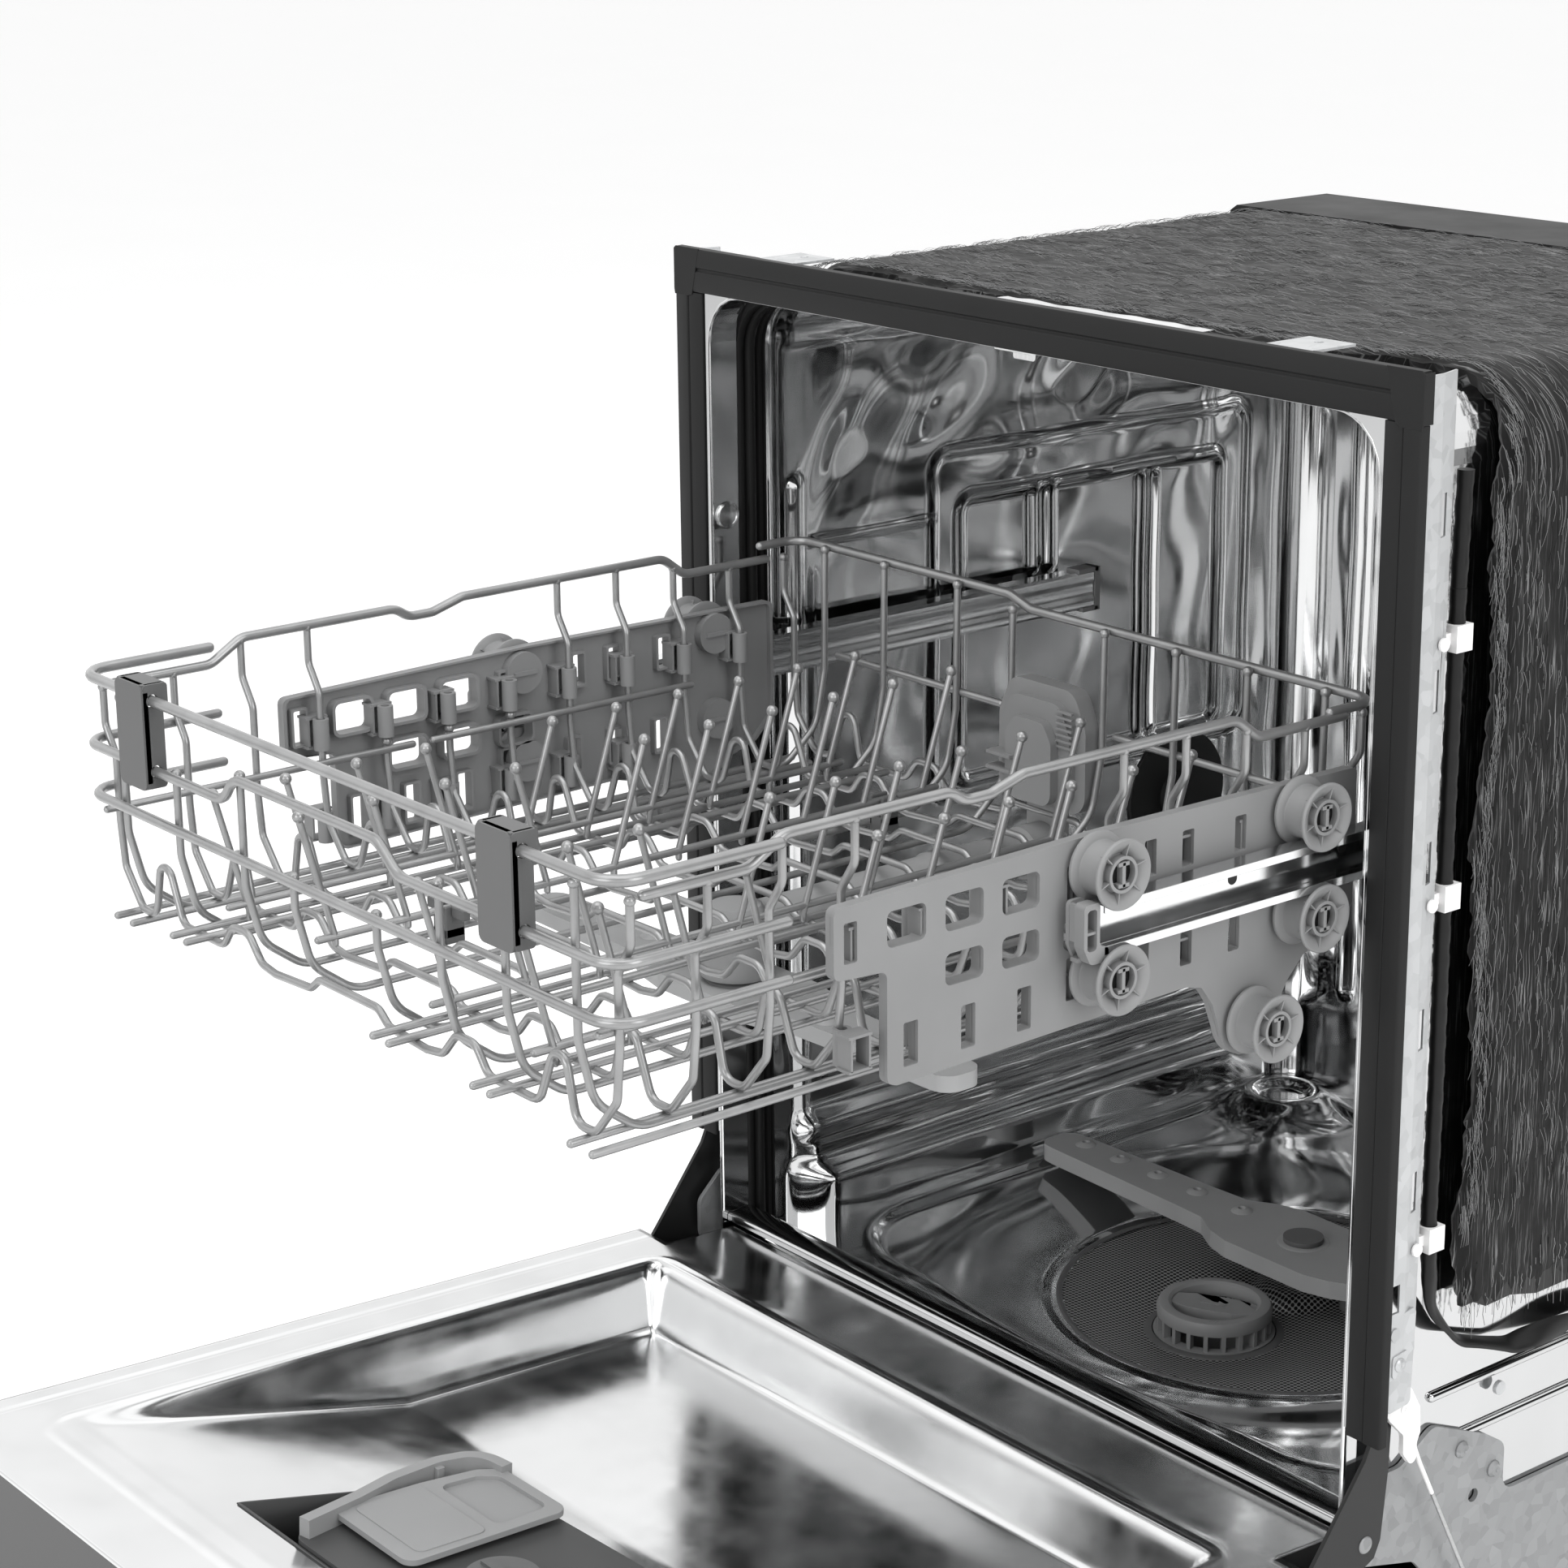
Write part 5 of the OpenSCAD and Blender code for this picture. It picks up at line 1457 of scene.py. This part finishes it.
def top_trim_strip():
    """Stepped black strip across the top, its ends folded over the side strips."""
    z0, z1 = low("trim_top").z, TOP_Z
    x = HALF_W
    profile = [(0, z0), (-1.9, z0 + 0.4), (-2.5, z0 + 2), (-2.5, z0 + 12.6), (-1.4, z0 + 13.6),
               (-1.4, z0 + 14.6), (-2.6, z0 + 15.6),
               (-2.6, z1 - 1.2), (-2, z1 - 0.2), (3.4, z1), (3.4, z1 - 1.2), (0, z1 - 1.4)]
    shape = Shape()
    slab(shape, [Vector((a, b, 0)) for a, b in profile], -x + 0.2, x - 0.2, lambda a, b, c: at(c, a, b))
    for s in (-1, 1):
        fold = [(x - 17, z0 - 1.2), (x - 13, z0 - 2.4), (x, z0 - 2.4), (x + 0.7, z0 + 1), (x + 0.7, z1 - 1.5),
                (x - 1.2, z1 + 0.2),
                (x - 24, z1 + 0.2)]
        slab(shape, [Vector((s * a, b, 0)) for a, b in fold], -2.75, -1.9, facing_y)
        block(shape, (s * (x + 0.1), -2.7, z0), (s * (x + 0.7), 5, z1 - 1))
    piece("top_trim_strip", shape, TRIM_BLACK, "cabinet", ("trim_top",), bevel=0.35)


def loom():
    """Taped cable bundle down the side, going flat and twisted towards the base."""
    marks = [(290, 42, 800), (290.4, 40, 740), (289.6, 40.6, 650), (290.2, 39.6, 578), (290, 40.4, 480),
             (289.8, 40, 388)]
    points = rounded([Vector(m) for m in marks + [(290, 44, 346), (290, 66, 320), (290, 112, 303),
                                                  (290, 200, 300), (290, 326, 300)]], 26, 8)
    fine = [points[0]]
    for a, b in zip(points, points[1:]):
        parts = max(1, int((b - a).length / 2.2))
        fine += [a + (b - a) * (k / parts) for k in range(1, parts + 1)]
    rings = []
    sides = 14
    gone = 0.0
    for i, spot in enumerate(fine):
        ahead = (fine[min(i + 1, len(fine) - 1)] - fine[max(i - 1, 0)]).normalized()
        side = Vector((1, 0, 0))
        up = ahead.cross(side).normalized()
        if i:
            gone += (spot - fine[i - 1]).length
        flat = float(smooth((gone - 410) / 60) * smooth((760 - gone) / 60))
        twist = 1.3 * math.sin(gone / 46) * flat
        wrap = 0.16 * (1 - flat) * math.copysign(1, math.sin(gone * 0.42))
        ring = []
        for k in range(sides):
            turn = 2 * math.pi * k / sides
            a = (4.3 + wrap) * (1 - 0.62 * flat) * math.cos(turn)
            b = (4.3 + wrap) * (1 + 0.55 * flat) * math.sin(turn)
            a, b = a * math.cos(twist) - b * math.sin(twist), a * math.sin(twist) + b * math.cos(twist)
            reach = min(4.45, abs(a)) * (1 if a > 0 else -1)
            spot3 = spot + side * reach + up * b
            ring.append(at(*spot3))
        rings.append(ring)
    shape = Shape()
    sweep(shape, rings)
    piece("cable_loom", shape, CABLE_BLACK, "cabinet", ("harness",), angle=50)


def link_place(s):
    """Maps a link's own frame (across, along, thickness) to its place at rest."""
    lean = math.radians(27.2)
    y0, z0 = 9.8, 311.6

    def place(a, b, c):
        return at(s * c, y0 + a * math.cos(lean) - b * math.sin(lean),
                  z0 + a * math.sin(lean) + b * math.cos(lean))
    return place


def balance_links():
    """White levers at the door's tail, each with a dimple and the cord's moulded end."""
    x = low_link
    outline = loop2([(-7, 7), (3, 8.5), (9, 2), (12.5, -14), (13, -28), (7, -42), (2, -46), (-1, -54),
                     (-7, -55), (-9, -44), (-4, -34),
                     (-9, -18), (-10, -4)], 5, 4)
    shape = Shape()
    for s in (-1, 1):
        place = link_place(s)
        slab(shape, outline, x, x + 3.2, place, [circle2(0, 0, 3.06, 20)[::-1]])
        lathe(shape, [(0.6, x + 2.4), (2.2, x + 2.4), (2.8, x + 3.5), (1.2, x + 3.7), (0.6, x + 3)],
              lambda a, b, c, place=place: place(3 + a, -20 + b, c), 18)
    piece("balance_levers", shape, NYLON, "door_links", ("balance_links",), bevel=0.9)
    shape = Shape()
    for s in (-1, 1):
        place = link_place(s)
        tube(shape, [place(1, -44, x + 1.6), place(0, -60, x + 1.6), place(0, -85, x + 1.6)], 2.6, 4, 12)
    piece("balance_cord_ends", shape, NYLON, "door_links")


def base_side_plates():
    """Pressed side plates of the base, their pins, and small brackets on the strips' feet."""
    shape = Shape()
    x = 283
    outline = loop2([(-11, 206), (-11, 234), (8, 252), (34, 252), (60, 268), (104, 249), (121, 238),
                     (121, 208), (540, 206), (540, 40),
                     (64, 40), (64, 172), (48, 190)], 9, 4)
    holes = [circle2(200, 80, 4.5)[::-1], circle2(440, 80, 4.5)[::-1], circle2(96, 214, 4)[::-1]]
    for s in (-1, 1):
        slab(shape, outline, s * (x - 3), s * x, facing_x, holes)
        for y, z, r, reach in ((0, PIVOT_Z, 5, 290.9), (116, 106, 4, 296.5), (503, 96.6, 2.5, 295.5)):
            lathe(shape, [(0, 282), (r, 282), (r, reach - 0.6), (r - 0.6, reach), (0, reach)],
                  lambda a, b, c, y=y, z=z, s=s: at(s * c, y + a, z + b), 28)
        for y, z in ((112, 225), (84, 246)):
            lathe(shape, [(0, x - 1), (5, x - 1), (5, x + 0.8), (3.4, x + 2.6), (1.2, x + 3), (0, x + 2)],
                  lambda a, b, c, y=y, z=z, s=s: at(s * c, y + a, z + b), 24)
    piece("base_side_plates", shape, ZINC_DULL, "cabinet", ("base_brackets",), bevel=0.9)
    shape = Shape()
    for s in (-1, 1):
        plate = loop2([(4, 298), (22, 300), (24, 356), (4, 352)], 3, 3)
        slot_hole = loop2([(7, 336), (13, 338), (15, 346), (8, 344)], 1.5, 3)
        slab(shape, plate, s * (STRIP_X - 1.5), s * (STRIP_X - 0.1), facing_x, [slot_hole[::-1]])
        slab(shape, loop2([(6, 318), (17, 320), (18, 333), (6, 331)], 2, 3), s * (STRIP_X - 0.2),
             s * (STRIP_X + 0.8), facing_x)
        lathe(shape, [(0, STRIP_X), (4, STRIP_X), (4, STRIP_X + 1.3), (2.6, STRIP_X + 2.3),
                      (1, STRIP_X + 2.6), (0, STRIP_X + 1.8)],
              lambda a, b, c, s=s: at(s * c, 11.5 + a, 325.5 + b), 22)
    piece("strip_foot_brackets", shape, ZINC, "cabinet", bevel=0.35)


low_link = high("balance_links").x - 3.2
STRAND_PALE = moulded("felt_strand_pale", 0.24, 0.6, specular=0.2)
STRAND_DARK = moulded("felt_strand_dark", 0.004, 0.7, specular=0.1)
FOIL = polished_steel("crinkled_foil", 0.7, 0.3, ripple=0.6)
loose_fibres(*blanket())
foil_patch()
side_trim_strips()
top_trim_strip()
balance_links()
base_side_plates()
loom()


# ---- CAD nodes that keep their shape ----

def dress(node, material, bevel=0.0, angle=32):
    """Gives a CAD node its finish, and rounds its edges by bevel mm."""
    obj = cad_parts[node]
    obj.data.materials.clear()
    obj.data.materials.append(material)
    if bevel:
        weld = obj.modifiers.new("weld", "WELD")
        weld.merge_threshold = 0.00001
        soften(obj, bevel, angle)


# Finish, and the rounding of the edges in mm
DRESSED = {
    "base_tray": (TRAY_BLACK, 0.6), "leveling_feet": (ZINC_DULL, 0.3),
    "toe_kick": (TRAY_BLACK, 0.5), "tub_wrapper": (TUB_STEEL, 0.0), "tub_back": (TUB_STEEL, 0.0),
    "side_flanges": (ZINC, 0.3), "rear_top_channel": (TRIM_BLACK, 0.6),
    "wash_pump": (PUMP_GREY, 0.8), "drain_pump": (PUMP_GREY, 0.8), "inlet_valve": (PUMP_GREY, 0.8),
    "junction_box": (ZINC_DULL, 0.5), "rail_guides": (PLATE_GREY, 0.5),
    "arm_support": (CLIP_GREY, 0.6), "docking_port": (CLIP_GREY, 0.6),
    "counter_brackets": (ZINC, 0.3), "cabinet_screws": (ZINC, 0.25), "cord_pulleys": (NYLON, 0.4),
    "balance_springs": (SPRING_STEEL, 0.0), "door_panel": (SKIN_STEEL, 0.6),
    "console": (CONSOLE_BLACK, 0.6), "control_board": (BOARD, 0.2),
    "hinge_arms": (ENAMEL_BLACK, 0.5), "rinse_cap": (CLIP_GREY, 0.5), "door_latch": (ZINC, 0.3),
    "button_power": (PLATE_GREY, 0.4), "button_start": (PLATE_GREY, 0.4),
    "harness_clips": (NYLON, 0.4), "vent_cap": (TRAY_BLACK, 0.5),
}
for name, finish in DRESSED.items():
    dress(name, *finish)


# ---- Floor, light and camera ----

def stage_plane(name, centre, across, up, material):
    """A flat card facing across x up; across and up are its half sides."""
    mesh = bpy.data.meshes.new(name)
    corners = [centre + across * a + up * b for a, b in ((-1, -1), (1, -1), (1, 1), (-1, 1))]
    mesh.from_pydata([tuple(c) for c in corners], [], [(0, 1, 2, 3)])
    obj = bpy.data.objects.new(name, mesh)
    bpy.context.scene.collection.objects.link(obj)
    mesh.materials.append(material)
    return obj


def floor_material():
    mat, tree, shader, place = principled("pale_floor", 0.85, specular=0.15)
    tint(tree, shader, grain(tree, place, 3, detail=2), grey(0.87, 0), grey(0.89, 0))
    shader.inputs["Emission Color"].default_value = (1, 1, 1, 1)
    shader.inputs["Emission Strength"].default_value = 0.2
    return mat


def soft_light(name, spot, target, width, height, power):
    """A rectangular soft box aimed at a target; places in metres."""
    data = bpy.data.lights.new(name, "AREA")
    data.shape = "RECTANGLE"
    data.size = width
    data.size_y = height
    data.energy = power
    obj = bpy.data.objects.new(name, data)
    obj.location = spot
    obj.rotation_euler = (Vector(target) - Vector(spot)).to_track_quat("-Z", "Y").to_euler()
    bpy.context.scene.collection.objects.link(obj)
    return obj


def studio_world():
    """White seen directly, even light on matt surfaces, patches and a white card in reflections."""
    world = bpy.data.worlds.new("studio")
    bpy.context.scene.world = world
    world.use_nodes = True
    tree = world.node_tree
    tree.nodes.clear()
    out = tree.nodes.new("ShaderNodeOutputWorld")
    light = tree.nodes.new("ShaderNodeBackground")
    ray = tree.nodes.new("ShaderNodeLightPath")
    place = tree.nodes.new("ShaderNodeTexCoord")
    split = tree.nodes.new("ShaderNodeSeparateXYZ")
    tree.links.new(place.outputs["Generated"], split.inputs[0])
    blobs = tree.nodes.new("ShaderNodeTexNoise")
    blobs.inputs["Scale"].default_value = 2.1
    blobs.inputs["Detail"].default_value = 0.5
    tree.links.new(place.outputs["Generated"], blobs.inputs["Vector"])
    sky = between(tree, blobs.outputs["Fac"], 0.45, 0.56, 0.03, 1.5)
    card = combine(tree, "MULTIPLY", between(tree, split.outputs["X"], -0.35, -0.55, 0, 1.15),
                   between(tree, split.outputs["Z"], 0.02, 0.14, 0, 1))
    sky = combine(tree, "MAXIMUM", sky, card)
    pick = tree.nodes.new("ShaderNodeMix")
    pick.data_type = "FLOAT"
    tree.links.new(ray.outputs["Is Glossy Ray"], pick.inputs["Factor"])
    pick.inputs["A"].default_value = WORLD_LIGHT
    tree.links.new(sky, pick.inputs["B"])
    seen = combine(tree, "MAXIMUM", pick.outputs["Result"], ray.outputs["Is Camera Ray"])
    tree.links.new(seen, light.inputs["Strength"])
    light.inputs["Color"].default_value = (1, 1, 1, 1)
    tree.links.new(light.outputs[0], out.inputs[0])


def photo_camera():
    """A long lens to the right of the front, a little above the machine."""
    turn, tilt, roll = (math.radians(a) for a in (CAMERA_AZIMUTH, CAMERA_TILT, CAMERA_ROLL))
    back = Vector((math.sin(turn) * math.cos(tilt), -math.cos(turn) * math.cos(tilt), math.sin(tilt)))
    across = Vector((0, 0, 1)).cross(back).normalized()
    up = back.cross(across)
    tilted_across = across * math.cos(roll) + up * math.sin(roll)
    tilted_up = up * math.cos(roll) - across * math.sin(roll)
    data = bpy.data.cameras.new("camera")
    data.sensor_width = 36
    data.lens = CAMERA_LENS
    data.clip_end = 100
    obj = bpy.data.objects.new("camera", data)
    obj.matrix_world = Matrix.Translation(at(*CAMERA_SPOT)) @ Matrix((tilted_across, tilted_up,
                                                                      back)).transposed().to_4x4()
    bpy.context.scene.collection.objects.link(obj)
    bpy.context.scene.camera = obj


CAMERA_AZIMUTH, CAMERA_TILT, CAMERA_ROLL = 51.33, 16.63, -0.62
CAMERA_SPOT = (1411, -1290, 1151)
CAMERA_LENS = 80.5
WORLD_LIGHT = 0.85

photo_camera()
studio_world()
stage_plane("floor", Vector((0, 8, 0)), Vector((40, 0, 0)), Vector((0, 40, 0)), floor_material())
# Place and target in metres, width, height, power
soft_light("light_over", (0.4, -0.4, 3.2), (0, 0, 0.4), 3.0, 3.0, 60)
soft_light("light_right", (3.2, 0.2, 1.9), (0, 0, 0.4), 1.6, 2.4, 40)
soft_light("light_front", (0.6, -3.6, 1.8), (0, 0, 0.5), 2.6, 1.6, 45)
bpy.context.scene.view_settings.view_transform = "Standard"
